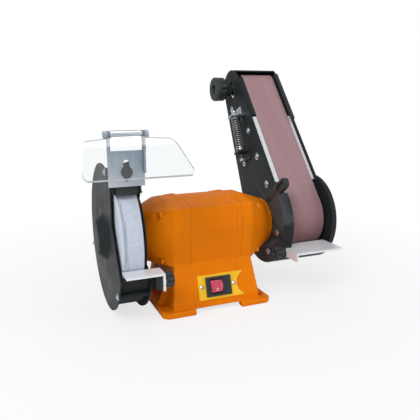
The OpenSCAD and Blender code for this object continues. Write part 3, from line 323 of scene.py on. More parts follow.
def blue_zinc(tint):
    f = Finish("blue_zinc", (0.27, 0.33, 0.40), metallic=0.8, roughness=0.36)
    low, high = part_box("shield_bracket")
    grain = f.noise(55, 4, (9, 9, 1))
    body = f.blend(f.ramp(grain, 0.3, 0.7), f.shade_of(0.86), f.shade_of(1.12))
    # painted light and shade: the bracket is darker blue-grey above a slanted line across it and paler zinc below it
    pale = f.sum(f.axis("Z"), f.sum(f.axis("X"), 0.5, "MULTIPLY"), "ADD")
    middle = (low.x + high.x) / 4
    lower = f.ramp(pale, low.z + middle + 0.034, low.z + middle - 0.004, 0.0, 0.85)
    f.set_colour(f.blend(lower, body, (0.60, 0.63, 0.68)))
    f.set_roughness(f.ramp(f.noise(70, 4), 0.3, 0.7, 0.3, 0.44))
    f.bump((f.noise(900, 2, (4, 4, 0.3)), 0.07, 0.08), (f.noise(200, 2), 0.06, 0.2))
    return f.material


def machined_steel(tint):
    f = Finish("machined_steel", tint, metallic=1.0, roughness=0.28)
    turned = f.noise(40, 2, (60, 1, 1))
    patches = f.noise(45, 4)
    f.set_colour(f.blend(f.ramp(turned, 0.3, 0.7), f.shade_of(0.88), f.shade_of(1.12)))
    f.set_roughness(f.sum(f.ramp(patches, 0.3, 0.7, 0.2, 0.3), f.ramp(turned, 0.2, 0.8, 0.0, 0.12)))
    f.bump((turned, 0.12, 0.06), (f.noise(700, 2), 0.05, 0.05))
    return f.material


def spring_steel(tint):
    f = Finish("spring_steel", tint, metallic=0.9, roughness=0.36)
    drawn = f.noise(650, 3)
    oiled = f.ramp(f.noise(60, 4), 0.35, 0.7)
    f.set_colour(f.blend(oiled, (0.30, 0.32, 0.33), (0.52, 0.54, 0.55)))
    f.set_roughness(f.ramp(drawn, 0.3, 0.7, 0.3, 0.44))
    f.bump((drawn, 0.1, 0.05))
    return f.material


def black_oxide(tint):
    f = Finish("black_oxide", tint, metallic=0.55, roughness=0.4)
    rubbing_and_edge_highlight = f.ramp(f.noise(240, 4), 0.52, 0.7, 0.0, 0.5)
    f.set_colour(f.blend(rubbing_and_edge_highlight, f.rgb, (0.13, 0.13, 0.135)))
    f.set_roughness(f.ramp(f.noise(180, 3), 0.3, 0.7, 0.32, 0.5))
    f.bump((f.noise(1100, 2), 0.12, 0.06))
    return f.material


def wheel_grit(tint):
    f = Finish("wheel_grit", tint, roughness=0.85, Specular_IOR_Level=0.25)
    fine = f.noise(950, 2, rough=0.6)
    coarse = f.cells(720, "Color")
    body = f.blend(f.ramp(fine, 0.3, 0.7), f.shade_of(0.82), f.shade_of(1.12))
    shade = f.ramp(f.sum(coarse, 1.0, "MULTIPLY"), 0.0, 0.28, 0.5, 0.0)
    body = f.blend(shade, body, f.shade_of(0.52))
    glint = f.ramp(f.noise(1700, 1), 0.68, 0.76, 0.0, 0.7)
    body = f.blend(glint, body, (0.86, 0.88, 0.93))
    along = f.noise(1.0, 5, (26, 190, 1), uv=True, rough=0.65)
    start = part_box("grinding_wheel")[0].x
    place = f.axis("X")
    left = f.sum(f.ramp(place, start + 0.0015, start + 0.004), f.ramp(place, start + 0.0105, start + 0.005), "MULTIPLY")
    streak = f.sum(f.ramp(along, 0.47, 0.6), left, "MULTIPLY")
    body = f.blend(f.sum(streak, 0.62, "MULTIPLY"), body, (0.17, 0.19, 0.23))
    loaded = f.ramp(f.noise(1.0, 4, (14, 40, 1), uv=True), 0.5, 0.72, 0.0, 0.3)
    f.set_colour(f.blend(loaded, body, f.shade_of(0.66)))
    f.bump((fine, 0.55, 0.35), (f.sum(coarse, 1.0, "MULTIPLY"), 0.3, 0.25))
    return f.material


def belt_grit(tint):
    f = Finish("belt_grit", tint, roughness=0.82, Specular_IOR_Level=0.3)
    fine = f.noise(1500, 2, rough=0.65)
    body = f.blend(f.ramp(fine, 0.3, 0.7), f.shade_of(0.84), f.shade_of(1.14))
    grit = f.cells(1250, "Distance")
    body = f.blend(f.ramp(grit, 0.16, 0.5, 0.3, 0.0), body, f.shade_of(1.5))
    edge_lightening = f.noise(1.0, 5, (55, 5, 1), uv=True, rough=0.6)
    body = f.blend(f.ramp(edge_lightening, 0.45, 0.75, 0.0, 0.34), body, (0.42, 0.31, 0.32))
    # painted shade: the belt is darker over its first stretch, round the back and underside of the drum
    low = f.ramp(f.axis("Y", True), 0.15, 0.09, 0.0, 0.6)
    body = f.blend(low, body, (0.215, 0.095, 0.105))
    slant = f.sum(f.axis("Y", True), f.sum(f.axis("X", True), 0.8, "MULTIPLY"), "SUBTRACT")
    seam = f.ramp(f.sum(f.sum(slant, 0.46, "SUBTRACT"), 0.0, "ABSOLUTE"), 0.0006, 0.0002)
    f.set_colour(f.blend(seam, body, f.shade_of(0.3)))
    f.set_roughness(f.ramp(fine, 0.3, 0.7, 0.76, 0.9))
    f.bump((fine, 0.4, 0.16), (grit, 0.25, 0.12), (seam, 0.4, -0.2))
    return f.material


def belt_cloth(tint):
    f = Finish("belt_cloth", (0.30, 0.20, 0.13), roughness=0.9, Sheen_Weight=0.15)
    weave = f.sum(f.lines(260, "X", 1.0), f.noise(1800, 2), "MULTIPLY")
    f.set_colour(f.blend(f.ramp(weave, 0.1, 0.6), f.shade_of(0.75), f.shade_of(1.15)))
    f.bump((weave, 0.3, 0.12))
    return f.material


def drum_rubber(tint):
    f = Finish("drum_rubber", tint, roughness=0.78, Specular_IOR_Level=0.3)
    chalk = f.ramp(f.noise(120, 5), 0.5, 0.75, 0.0, 0.4)
    f.set_colour(f.blend(chalk, f.rgb, f.shade_of(3.0)))
    f.set_roughness(f.ramp(f.noise(300, 3), 0.3, 0.7, 0.68, 0.88))
    f.bump((f.noise(900, 3), 0.3, 0.12))
    return f.material


def moulded_black(tint):
    f = Finish("moulded_black", tint, roughness=0.42, Specular_IOR_Level=0.3)
    hazy = f.ramp(f.noise(50, 4), 0.42, 0.7, 0.0, 0.4)
    body = f.blend(hazy, f.rgb, f.shade_of(1.8))
    edges = f.add("ShaderNodeNewGeometry").outputs["Pointiness"]
    f.set_colour(f.blend(f.ramp(edges, 0.52, 0.6, 0.0, 0.4), body, (0.085, 0.095, 0.095)))
    f.set_roughness(f.ramp(f.noise(140, 3), 0.3, 0.7, 0.34, 0.5))
    f.bump((f.noise(1600, 2), 0.22, 0.08), (f.noise(160, 2), 0.06, 0.2))
    return f.material


def yellow_enamel(tint):
    f = Finish("yellow_enamel", tint, roughness=0.36, Specular_IOR_Level=0.45)
    clouds = f.ramp(f.noise(70, 4), 0.3, 0.7)
    body = f.blend(clouds, f.shade_of(0.93), f.shade_of(1.05))
    marks = f.ramp(f.noise(160, 5, (0.2, 1, 1)), 0.66, 0.76, 0.0, 0.35)
    f.set_colour(f.blend(marks, body, f.shade_of(0.66)))
    f.set_roughness(f.ramp(f.noise(120, 3), 0.3, 0.7, 0.3, 0.44))
    f.bump((f.noise(1100, 2), 0.1, 0.06))
    return f.material


def red_lens(tint):
    f = Finish("red_lens", tint, roughness=0.25, Coat_Weight=0.35, Coat_Roughness=0.12, Specular_IOR_Level=0.5)
    glow = f.ramp(f.noise(130, 3), 0.35, 0.7)
    f.set_colour(f.blend(glow, f.shade_of(0.82), (0.70, 0.10, 0.17)))
    f.set_roughness(f.ramp(f.noise(500, 3), 0.3, 0.7, 0.2, 0.34))
    f.bump((f.noise(1400, 2), 0.06, 0.05))
    return f.material


def mark_white():
    f = Finish("mark_white", (0.85, 0.8, 0.8), roughness=0.5)
    f.set_colour(f.blend(f.ramp(f.noise(900, 3), 0.35, 0.7), (0.72, 0.62, 0.64), (0.9, 0.86, 0.86)))
    f.bump((f.noise(1500, 2), 0.1, 0.03))
    return f.material


def clear_face(tint):
    f = Finish("clear_face", tint, roughness=0.03, IOR=1.45, Transmission_Weight=1.0)
    haze = f.ramp(f.noise(45, 5, (1, 1, 1)), 0.4, 0.75, 0.015, 0.06)
    scratch = f.ramp(f.noise(240, 4, (0.06, 1, 1)), 0.66, 0.76, 0.0, 0.08)
    f.set_roughness(f.sum(haze, scratch))
    f.bump((f.noise(30, 2), 0.03, 0.3))
    return f.material


def clear_edge(tint):
    f = Finish("clear_edge", (0.52, 0.54, 0.55), roughness=0.45)
    cut = f.noise(900, 3, (0.2, 1, 1))
    f.set_colour(f.blend(f.ramp(cut, 0.3, 0.7), (0.44, 0.46, 0.47), (0.62, 0.64, 0.65)))
    f.set_roughness(f.ramp(cut, 0.3, 0.7, 0.38, 0.55))
    f.bump((cut, 0.15, 0.06))
    return f.material


def copper_wire(tint):
    f = Finish("copper_wire", tint, metallic=0.9, roughness=0.3, Coat_Weight=0.4, Coat_Roughness=0.15)
    strands = f.noise(120, 2, (1, 14, 14))
    f.set_colour(f.blend(f.ramp(strands, 0.3, 0.7), f.shade_of(0.6), f.shade_of(1.2)))
    f.set_roughness(f.ramp(strands, 0.3, 0.7, 0.22, 0.42))
    f.bump((strands, 0.5, 0.4))
    return f.material


def stacked_sheet(tint):
    f = Finish("stacked_sheet", tint, metallic=0.8, roughness=0.5)
    layers = f.lines(310, "X", 0.3)
    rust = f.ramp(f.noise(90, 5), 0.58, 0.75, 0.0, 0.5)
    body = f.blend(layers, f.shade_of(0.6), f.shade_of(1.2))
    f.set_colour(f.blend(rust, body, (0.22, 0.11, 0.06)))
    f.set_roughness(f.ramp(f.noise(150, 3), 0.3, 0.7, 0.42, 0.6))
    f.bump((layers, 0.4, 0.2))
    return f.material


def white_moulding(tint):
    f = Finish("white_moulding", tint, roughness=0.45)
    aged = f.ramp(f.noise(60, 4), 0.35, 0.7)
    f.set_colour(f.blend(aged, f.shade_of(0.92), f.shade_of(1.06)))
    f.set_roughness(f.ramp(f.noise(200, 3), 0.3, 0.7, 0.38, 0.54))
    f.bump((f.noise(1300, 2), 0.12, 0.06))
    return f.material


def blotter_card(tint):
    f = Finish("blotter_card", tint, roughness=0.9)
    fibre = f.noise(420, 5, (1, 1, 3), rough=0.7)
    f.set_colour(f.blend(f.ramp(fibre, 0.3, 0.7), f.shade_of(0.8), f.shade_of(1.25)))
    f.set_roughness(f.ramp(fibre, 0.3, 0.7, 0.82, 0.95))
    f.bump((fibre, 0.3, 0.1))
    return f.material


FINISHES = {
    "orange_casting": (orange_paint, "orange"),
    "black_sheet": (black_coat, "black"),
    "zinc_steel": (zinc_plate, "zinc"),
    "bright_steel": (machined_steel, "steel"),
    "black_bolt": (black_oxide, "oxide"),
    "abrasive_wheel": (wheel_grit, "wheel"),
    "abrasive_belt": (belt_grit, "belt"),
    "tyre_rubber": (drum_rubber, "rubber"),
    "black_plastic": (moulded_black, "plastic"),
    "yellow_plate": (yellow_enamel, "yellow"),
    "red_rocker": (red_lens, "red"),
    "clear_sheet": (clear_face, "clear"),
    "copper_wire": (copper_wire, "copper"),
    "core_steel": (stacked_sheet, "core"),
    "white_plastic": (white_moulding, "white"),
    "card": (blotter_card, "card"),
    "rest_plates": (pale_zinc, "zinc"),
    "bracket_zinc": (blue_zinc, "zinc"),
}
SLOT_OF = {part["node"]: part["material_slot"] for part in frame["record"]["subparts"]}
BODY_OF = {node: body for body, nodes in frame["record"]["behaviour"]["bodies"].items() for node in nodes}
made_finishes = {}


def sizes():
    return bpy.context.scene.grinder_sizes


def finish_of(slot):
    """The material of a slot, made once."""
    if slot not in made_finishes:
        maker, tint = FINISHES[slot]
        made_finishes[slot] = maker(getattr(bpy.context.scene.grinder_colours, tint))
    return made_finishes[slot]


def new_piece(name, mesh, *materials):
    """An object at the origin with this mesh and these materials."""
    mesh.name = name
    for material in materials:
        mesh.materials.append(material)
    piece = bpy.data.objects.new(name, mesh)
    bpy.context.scene.collection.objects.link(piece)
    return piece


def from_bmesh(name, work, *materials):
    work.normal_update()
    mesh = bpy.data.meshes.new(name)
    work.to_mesh(mesh)
    work.free()
    return new_piece(name, mesh, *materials)


def settle(piece):
    """Turns a piece's modifiers into its plain mesh."""
    graph = bpy.context.evaluated_depsgraph_get()
    mesh = bpy.data.meshes.new_from_object(piece.evaluated_get(graph), depsgraph=graph)
    piece.modifiers.clear()
    old = piece.data
    piece.data = mesh
    bpy.data.meshes.remove(old)
    mesh.name = piece.name
    return piece


def smooth(piece, angle=38, weighted=True):
    """Smooth shading with creases above an angle in degrees."""
    mesh = piece.data
    if "custom_normal" in mesh.attributes:
        mesh.attributes.remove(mesh.attributes["custom_normal"])
    mesh.shade_smooth()
    mesh.set_sharp_from_angle(angle=math.radians(angle))
    if weighted:
        even = piece.modifiers.new("even", "WEIGHTED_NORMAL")
        even.keep_sharp = True
        settle(piece)
    return piece


def stand_for(piece, *nodes):
    """The piece rides where these nodes ride, and is shown in their place."""
    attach(piece, BODY_OF[nodes[0]])
    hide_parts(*nodes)
    return piece


def node_copy(node):
    """A node's shape with doubles merged and flat faces joined."""
    work = bmesh.new()
    work.from_mesh(NODES[node].data)
    bmesh.ops.remove_doubles(work, verts=work.verts, dist=1e-6)
    bmesh.ops.dissolve_limit(work, angle_limit=math.radians(0.5), verts=work.verts[:], edges=work.edges[:])
    return work


def round_edges(work, width, segments=2, angle=30, wanted=None):
    """Bevels the edges sharper than an angle in degrees."""
    limit = math.radians(angle)
    edges = [edge for edge in work.edges
             if len(edge.link_faces) == 2 and edge.calc_face_angle(0) > limit
             and (wanted is None or wanted(edge))]
    bmesh.ops.bevel(work, geom=edges, offset=width, offset_type="OFFSET", segments=segments,
                    profile=0.5, affect="EDGES", clamp_overlap=True)


def soft_piece(name, node, width, segments=2, first=None, paint=None):
    """A copy of a node with rounded edges, in its place. first rounds chosen edges more."""
    work = node_copy(node)
    if first is not None:
        round_edges(work, first[0], 4, 20, first[1])
    round_edges(work, width, segments)
    piece = from_bmesh(name, work, paint or finish_of(SLOT_OF[node]))
    smooth(piece)
    return stand_for(piece, node)


def cast_skin(*nodes):
    """One mesh over castings that butt together, with soft edges and fillets."""
    work = bmesh.new()
    for node in nodes:
        work.from_mesh(NODES[node].data)
    bmesh.ops.remove_doubles(work, verts=work.verts, dist=1e-6)
    piece = from_bmesh("skin", work)
    skin = piece.modifiers.new("skin", "REMESH")
    skin.mode = "VOXEL"
    skin.voxel_size = sizes().cast_grid
    soften = piece.modifiers.new("soften", "SMOOTH")
    soften.factor = 0.5
    soften.iterations = sizes().cast_rounds
    settle(piece)
    mesh = piece.data
    bpy.data.objects.remove(piece)
    return mesh


def cut_piece(name, node, skin, low, high):
    """The stretch of a skin between two places along X, closed at its cuts."""
    work = bmesh.new()
    work.from_mesh(skin)
    for place, side in ((low, -1), (high, 1)):
        if place is None:
            continue
        whole = work.verts[:] + work.edges[:] + work.faces[:]
        bmesh.ops.bisect_plane(work, geom=whole, dist=1e-7, plane_co=(place, 0, 0), plane_no=(side, 0, 0),
                               clear_outer=True)
        rim = [edge for edge in work.edges if len(edge.link_faces) == 1]
        bmesh.ops.triangle_fill(work, use_beauty=True, edges=rim)
    bmesh.ops.recalc_face_normals(work, faces=work.faces[:])
    piece = from_bmesh(name, work, finish_of(SLOT_OF[node]))
    smooth(piece, 50, False)
    return stand_for(piece, node)


def dress(*nodes):
    """Gives nodes that keep their own shape their finish."""
    for node in nodes:
        materials = NODES[node].data.materials
        materials.clear()
        materials.append(finish_of(SLOT_OF[node]))


def turned(work, profile, centre, steps=96, flutes=0, depth=0.0, uv=None):
    """Turns (x, radius, flute share) points in mm about an axis along X through centre (y, z)."""
    rings = []
    for x, radius, share in profile:
        count = steps if radius > 1e-6 else 1
        ring = []
        for i in range(count):
            turn = 2 * math.pi * i / steps
            reach = radius
            if flutes and share:
                dip = (0.5 + 0.5 * math.cos(flutes * turn)) ** 3
                reach = radius - depth * share * dip
            ring.append(work.verts.new(mm(x, centre[0] + reach * math.cos(turn), centre[1] + reach * math.sin(turn))))
        rings.append(ring)
    along = [0.0]
    for a, b in zip(profile, profile[1:]):
        along.append(along[-1] + math.hypot(b[0] - a[0], b[1] - a[1]) * MM)
    layer = work.loops.layers.uv.new("UVMap") if uv is not None else None
    for k in range(len(rings) - 1):
        low, high = rings[k], rings[k + 1]
        for i in range(steps):
            j = (i + 1) % steps
            corners = [(low, i, k), (low, j, k), (high, j, k + 1), (high, i, k + 1)]
            verts = []
            seats = []
            for ring, at, level in corners:
                vert = ring[at % len(ring)]
                if vert not in verts:
                    verts.append(vert)
                    seats.append((i + 1 if at == j else i, level))
            if len(verts) < 3:
                continue
            face = work.faces.new(verts)
            if layer is not None:
                for loop, (at, level) in zip(face.loops, seats):
                    loop[layer].uv = (at / steps * uv, along[level])
    bmesh.ops.recalc_face_normals(work, faces=work.faces[:])


class GRINDER_OT_castings(bpy.types.Operator):
    """Builds the orange motor shell and both end castings with their feet"""

    bl_idname = "grinder.castings"
    bl_label = "Castings"

    def execute(self, context):
        skin = cast_skin("motor_shell", "left_end_casting", "right_end_casting")
        seam = SEAM * MM
        cut_piece("shell_casting", "motor_shell", skin, -seam, seam)
        cut_piece("left_casting", "left_end_casting", skin, None, -seam)
        cut_piece("right_casting", "right_end_casting", skin, seam, None)
        bpy.data.meshes.remove(skin)
        soft_piece("floor_sheet", "bottom_plate", sizes().sheet_edge)
        soft_piece("lead_gland", "cable_gland", sizes().nut_edge)
        return {"FINISHED"}


class GRINDER_OT_motor_inside(bpy.types.Operator):
    """Gives the hidden motor pieces their finishes"""

    bl_idname = "grinder.motor_inside"
    bl_label = "Motor inside"

    def execute(self, context):
        dress("stator_core", "stator_windings", "rotor_core", "shaft_bearings", "capacitor", "terminal_block",
              "motor_shaft")
        soft_piece("painted_bolts", "through_bolts", sizes().nut_edge, 2, paint=finish_of("orange_casting"))
        return {"FINISHED"}


class GRINDER_OT_switch(bpy.types.Operator):
    """Builds the switch plate, its frame and the rocker with its two marks"""

    bl_idname = "grinder.switch"
    bl_label = "Switch"

    def execute(self, context):
        soft_piece("switch_face", "switch_plate", 0.25 * MM)
        soft_piece("switch_frame", "switch_body", 0.6 * MM, 3)
        rocker = soft_piece("switch_paddle", "switch_rocker", 0.55 * MM, 3)
        self.marks(rocker)
        return {"FINISHED"}

    def marks(self, rocker):
        """Draws a bar and a ring on the two halves of the rocker."""
        low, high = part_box("switch_plate")
        tilt = math.atan2(12, 43)
        out = Vector((0, -math.cos(tilt), math.sin(tilt)))
        up = Vector((0, math.sin(tilt), math.cos(tilt)))
        middle = centre_of("switch_rocker")
        tree = rocker.data
        work = bmesh.new()
        side = Vector((1, 0, 0))
        for height, shape in ((3.6, "bar"), (-3.6, "ring")):
            origin = middle + up * height * MM + out * 20 * MM
            hit = self.surface(tree, origin, -out)
            if shape == "bar":
                points = [(-0.3, -1.5), (0.3, -1.5), (0.3, 1.5), (-0.3, 1.5)]
                faces = [points]
            else:
                inner = [(math.cos(t * math.pi / 12) * 1.05, math.sin(t * math.pi / 12) * 1.05) for t in range(24)]
                outer = [(x * 1.5, y * 1.5) for x, y in inner]
                faces = [[inner[i], outer[i], outer[(i + 1) % 24], inner[(i + 1) % 24]] for i in range(24)]
            for corners in faces:
                verts = []
                for x, y in corners:
                    at = self.surface(tree, hit + side * x * MM + up * y * MM + out * 20 * MM, -out)
                    verts.append(work.verts.new(at + out * 0.04 * MM))
                work.faces.new(verts)
        bmesh.ops.remove_doubles(work, verts=work.verts, dist=1e-7)
        grown = bmesh.ops.extrude_face_region(work, geom=work.faces[:])
        for vert in (v for v in grown["geom"] if isinstance(v, bmesh.types.BMVert)):
            vert.co -= out * 0.1 * MM
        bmesh.ops.recalc_face_normals(work, faces=work.faces[:])
        marks = from_bmesh("rocker_marks", work, mark_white())
        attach(marks, "rocker")

    def surface(self, mesh, origin, direction):
        """Where a ray meets a mesh."""
        tree = self.trees.get(mesh.name)
        if tree is None:
            from mathutils.bvhtree import BVHTree
            work = bmesh.new()
            work.from_mesh(mesh)
            tree = BVHTree.FromBMesh(work)
            work.free()
            self.trees[mesh.name] = tree
        hit = tree.ray_cast(origin, direction)[0]
        if hit is None:
            raise RuntimeError("the rocker mark misses the rocker")
        return hit

    trees = {}


class GRINDER_OT_wheel(bpy.types.Operator):
    """Builds the grinding wheel, its flanges, blotters and nut"""

    bl_idname = "grinder.wheel"
    bl_label = "Grinding wheel"

    def execute(self, context):
        low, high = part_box("grinding_wheel")
        x0, x1 = low.x / MM, high.x / MM
        radius = (high.z - low.z) / 2 / MM
        bore = 6.4
        edge = sizes().wheel_edge / MM
        rim = []
        for i in range(7):
            turn = math.pi / 2 * i / 6
            rim.append((x0 + edge - edge * math.cos(turn), radius - edge + edge * math.sin(turn), 0))
        back = [(x0 + x1 - x, r, 0) for x, r, _ in reversed(rim)]
        steps = [(x0 + (x1 - x0) * k / 6, radius, 0) for k in range(1, 6)]
        profile = [(x1, bore, 0), (x0, bore, 0), (x0, 40, 0)] + rim + steps + back + [(x1, 40, 0), (x1, bore, 0)]
        work = bmesh.new()
        turned(work, profile, (0, SHAFT_Z), 160, uv=2 * math.pi * radius * MM)
        bmesh.ops.remove_doubles(work, verts=work.verts, dist=1e-6)
        wheel = from_bmesh("grit_wheel", work, finish_of("abrasive_wheel"))
        smooth(wheel)
        stand_for(wheel, "grinding_wheel")
        soft_piece("flange_pair", "wheel_flanges", sizes().nut_edge)
        soft_piece("clamp_nut", "wheel_nut", sizes().nut_edge)
        dress("wheel_blotters")
        return {"FINISHED"}


class GRINDER_OT_guard(bpy.types.Operator):
    """Builds the wheel guard, its cover and the lug for the rest"""

    bl_idname = "grinder.guard"
    bl_label = "Wheel guard"

    def execute(self, context):
        soft_piece("guard_shell", "inner_guard", sizes().sheet_edge)
        soft_piece("guard_face", "guard_cover", sizes().sheet_edge, 2, (1.6 * MM, self.on_cone))
        soft_piece("rest_lug", "rest_support", 0.8 * MM, 3)
        soft_piece("rest_lug_bolt", "rest_support_bolt", sizes().nut_edge)
        return {"FINISHED"}

    def on_cone(self, edge):
        """True for the round edges where the pressed cone meets the flat sheet."""
        reach = max(math.hypot(v.co.y, v.co.z - SHAFT_Z * MM) for v in edge.verts)
        return 17 * MM < reach < 30 * MM


class GRINDER_OT_shield(bpy.types.Operator):
    """Builds the shield bracket, its bolts and the bent clear shield"""

    bl_idname = "grinder.shield"
    bl_label = "Eye shield"

    def execute(self, context):
        soft_piece("shield_yoke", "shield_bracket", sizes().sheet_edge, paint=finish_of("bracket_zinc"))
        soft_piece("yoke_bolt", "shield_bracket_bolt", sizes().nut_edge)
        soft_piece("hinge_pin", "shield_hinge_bolt", sizes().nut_edge, paint=finish_of("zinc_steel"))
        self.sheet()
        return {"FINISHED"}

    def sheet(self):
        """The clear sheet bent once, with a rolled eye round its pin."""
        low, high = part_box("eye_shield")
        pivot = Vector(JOINTS["eye_shield_tilt"]["pos_m"])
        middle_x = pivot.x
        half_w = (high.x - low.x) / 2
        thick = 2.5 * MM
        bend = Vector((0, pivot.y - 26.3 * MM, pivot.z - 11 * MM))
        foot = Vector((0, low.y + 0.61 * thick, low.z))
        start = Vector((0, pivot.y, pivot.z - thick / 2))
        path = self.fillet(start, bend, foot, sizes().shield_bend)
        rows = []
        neck, shoulder = 17 * MM, 45 * MM
        total = pivot.y - low.y
        for point, normal in path:
            gone = pivot.y - point.y
            if gone < 9 * MM:
                half = neck
            elif gone < 14 * MM:
                half = neck + (shoulder - neck) * ((gone - 9 * MM) / (5 * MM))
            else:
                share = (gone - 14 * MM) / (total - 14 * MM)
                half = shoulder + (half_w - shoulder) * min(1, share * total / (total - 9 * MM))
            left = total - gone
            corner = 9 * MM
            if left < corner:
                half = half_w - corner + math.sqrt(max(0, corner ** 2 - (corner - left) ** 2))
            rows.append((point, normal, half))
        work = bmesh.new()
        across = 20
        top, under = [], []
        for point, normal, half in rows:
            top.append([work.verts.new((middle_x + half * (2 * i / across - 1), *(point + normal * thick)[1:]))
                        for i in range(across + 1)])
            under.append([work.verts.new((middle_x + half * (2 * i / across - 1), *point[1:]))
                          for i in range(across + 1)])
        for k in range(len(rows) - 1):
            for i in range(across):
                work.faces.new((top[k][i], top[k][i + 1], top[k + 1][i + 1], top[k + 1][i]))
                work.faces.new((under[k][i], under[k + 1][i], under[k + 1][i + 1], under[k][i + 1]))
            for i in (0, across):
                face = work.faces.new((top[k][i], top[k + 1][i], under[k + 1][i], under[k][i]))
                face.material_index = 1
        for k in (0, len(rows) - 1):
            for i in range(across):
                face = work.faces.new((top[k][i], top[k][i + 1], under[k][i + 1], under[k][i]))
                face.material_index = 1
        bmesh.ops.remove_doubles(work, verts=work.verts, dist=1e-7)
        bmesh.ops.recalc_face_normals(work, faces=work.faces[:])
        tint = bpy.context.scene.grinder_colours.clear
        face_finish, edge_finish = finish_of("clear_sheet"), clear_edge(tint)
        sheet = from_bmesh("clear_visor", work, face_finish, edge_finish)
        smooth(sheet, 30, False)
        stand_for(sheet, "eye_shield")
        eye = bmesh.new()
        profile = [(-17, 2.6, 0), (-17, 4.2, 0), (-16.6, 4.6, 0), (16.6, 4.6, 0), (17, 4.2, 0), (17, 2.6, 0), (-17, 2.6, 0)]
        profile = [(x + pivot.x / MM, r, s) for x, r, s in profile]
        turned(eye, profile, (pivot.y / MM, pivot.z / MM), 40)
        bmesh.ops.remove_doubles(eye, verts=eye.verts, dist=1e-7)
        barrel = from_bmesh("visor_eye", eye, face_finish)
        smooth(barrel, 40)
        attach(barrel, "shield")

    def fillet(self, start, bend, foot, radius):
        """Points with their upward normals along a path with one rounded bend."""
        first = (start - bend).normalized()
        second = (foot - bend).normalized()
        opening = first.angle(second)
        reach = radius / math.tan(opening / 2)
        hub = bend + (first + second).normalized() * (radius / math.sin(opening / 2))
        points = [start + (bend + first * reach - start) * i / 14 for i in range(15)]
        entry = bend + first * reach - hub
        leave = bend + second * reach - hub
        sweep = entry.angle(leave)
        for i in range(1, 12):
            t = i / 12
            points.append(hub + (entry * math.sin((1 - t) * sweep) + leave * math.sin(t * sweep)) / math.sin(sweep))
        tail = bend + second * reach
        points += [tail + (foot - tail) * (1 - (1 - i / 26) ** 1.8) for i in range(27)]
        out = []
        for i, point in enumerate(points):
            before, after = points[max(0, i - 1)], points[min(len(points) - 1, i + 1)]
            way = (after - before).normalized()
            out.append((point, Vector((0, way.z, -way.y)) if way.y < 0 else Vector((0, -way.z, way.y))))
        return [(p, n if n.z > 0 else -n) for p, n in out]


def clamp_knob(name, node, x_face, x_end):
    """A fluted clamp knob on its stud, between two places along the shaft in mm."""
    centre = centre_of(node) / MM
    low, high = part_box(node)
    sign = 1 if x_end > x_face else -1
    length = abs(x_end - x_face)
    radius = (high.z - low.z) / 2 / MM
    work = bmesh.new()
    outline = [(length - 2.2, 0, 0), (length - 2.2, 3.4, 0), (length - 0.3, 4.2, 0), (length, 4.8, 0),
               (length, radius - 2.2, 0.2), (length - 0.5, radius - 0.9, 0.7), (length - 1.6, radius, 1),
               (2.2, radius, 1), (0.9, radius - 0.5, 0.9), (0.2, radius - 1.6, 0.5), (0, radius - 2.6, 0), (0, 3, 0),
               (0, 0, 0)]
    profile = [(x_face + sign * x, r, s) for x, r, s in outline]
    turned(work, profile, (centre.y, centre.z), 96, sizes().clamp_flutes, radius * 0.2)
    stud_end = low.x / MM if sign > 0 else high.x / MM
    boss = [(x_face - sign * 1.2, 0, 0), (x_face - sign * 1.2, radius - 2.7, 0), (x_face, radius - 2.5, 0), (x_face, 0, 0)]
    stud = [(stud_end, 0, 0), (stud_end, 2.5, 0), (stud_end + sign * 0.5, 3, 0), (x_face, 3, 0), (x_face, 0, 0)]
    knob = from_bmesh(name, work, finish_of("black_plastic"))
    smooth(knob, 45)
    stand_for(knob, node)
    metal = bmesh.new()
    turned(metal, boss, (centre.y, centre.z), 48)
    turned(metal, stud, (centre.y, centre.z), 32)
    shank = from_bmesh(name + "_stud", metal, finish_of("zinc_steel"))
    smooth(shank, 40)
    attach(shank, BODY_OF[node])


class GRINDER_OT_wheel_rest(bpy.types.Operator):
    """Builds the wheel's tool rest and its clamp knob"""

    bl_idname = "grinder.wheel_rest"
    bl_label = "Wheel rest"

    def execute(self, context):
        soft_piece("wheel_ledge", "wheel_tool_rest", sizes().plate_edge, paint=finish_of("rest_plates"))
        low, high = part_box("wheel_rest_knob")
        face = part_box("wheel_tool_rest")[1].x / MM + 1.5
        clamp_knob("wheel_ledge_knob", "wheel_rest_knob", face, high.x / MM)
        return {"FINISHED"}


class GRINDER_OT_arm_sheets(bpy.types.Operator):
    """Builds the sheet pieces of the belt arm and its clamp ring"""

    bl_idname = "grinder.arm_sheets"
    bl_label = "Arm sheets"

    def execute(self, context):
        edge = sizes().sheet_edge
        soft_piece("drum_shroud", "drum_guard", edge)
        soft_piece("arm_side", "arm_plate", edge)
        soft_piece("arm_outer_side", "outer_cover", edge)
        soft_piece("idler_hood", "top_hood", edge)
        soft_piece("pivot_ring", "arm_clamp_ring", edge)
        soft_piece("arm_posts", "cover_posts", edge)
        return {"FINISHED"}


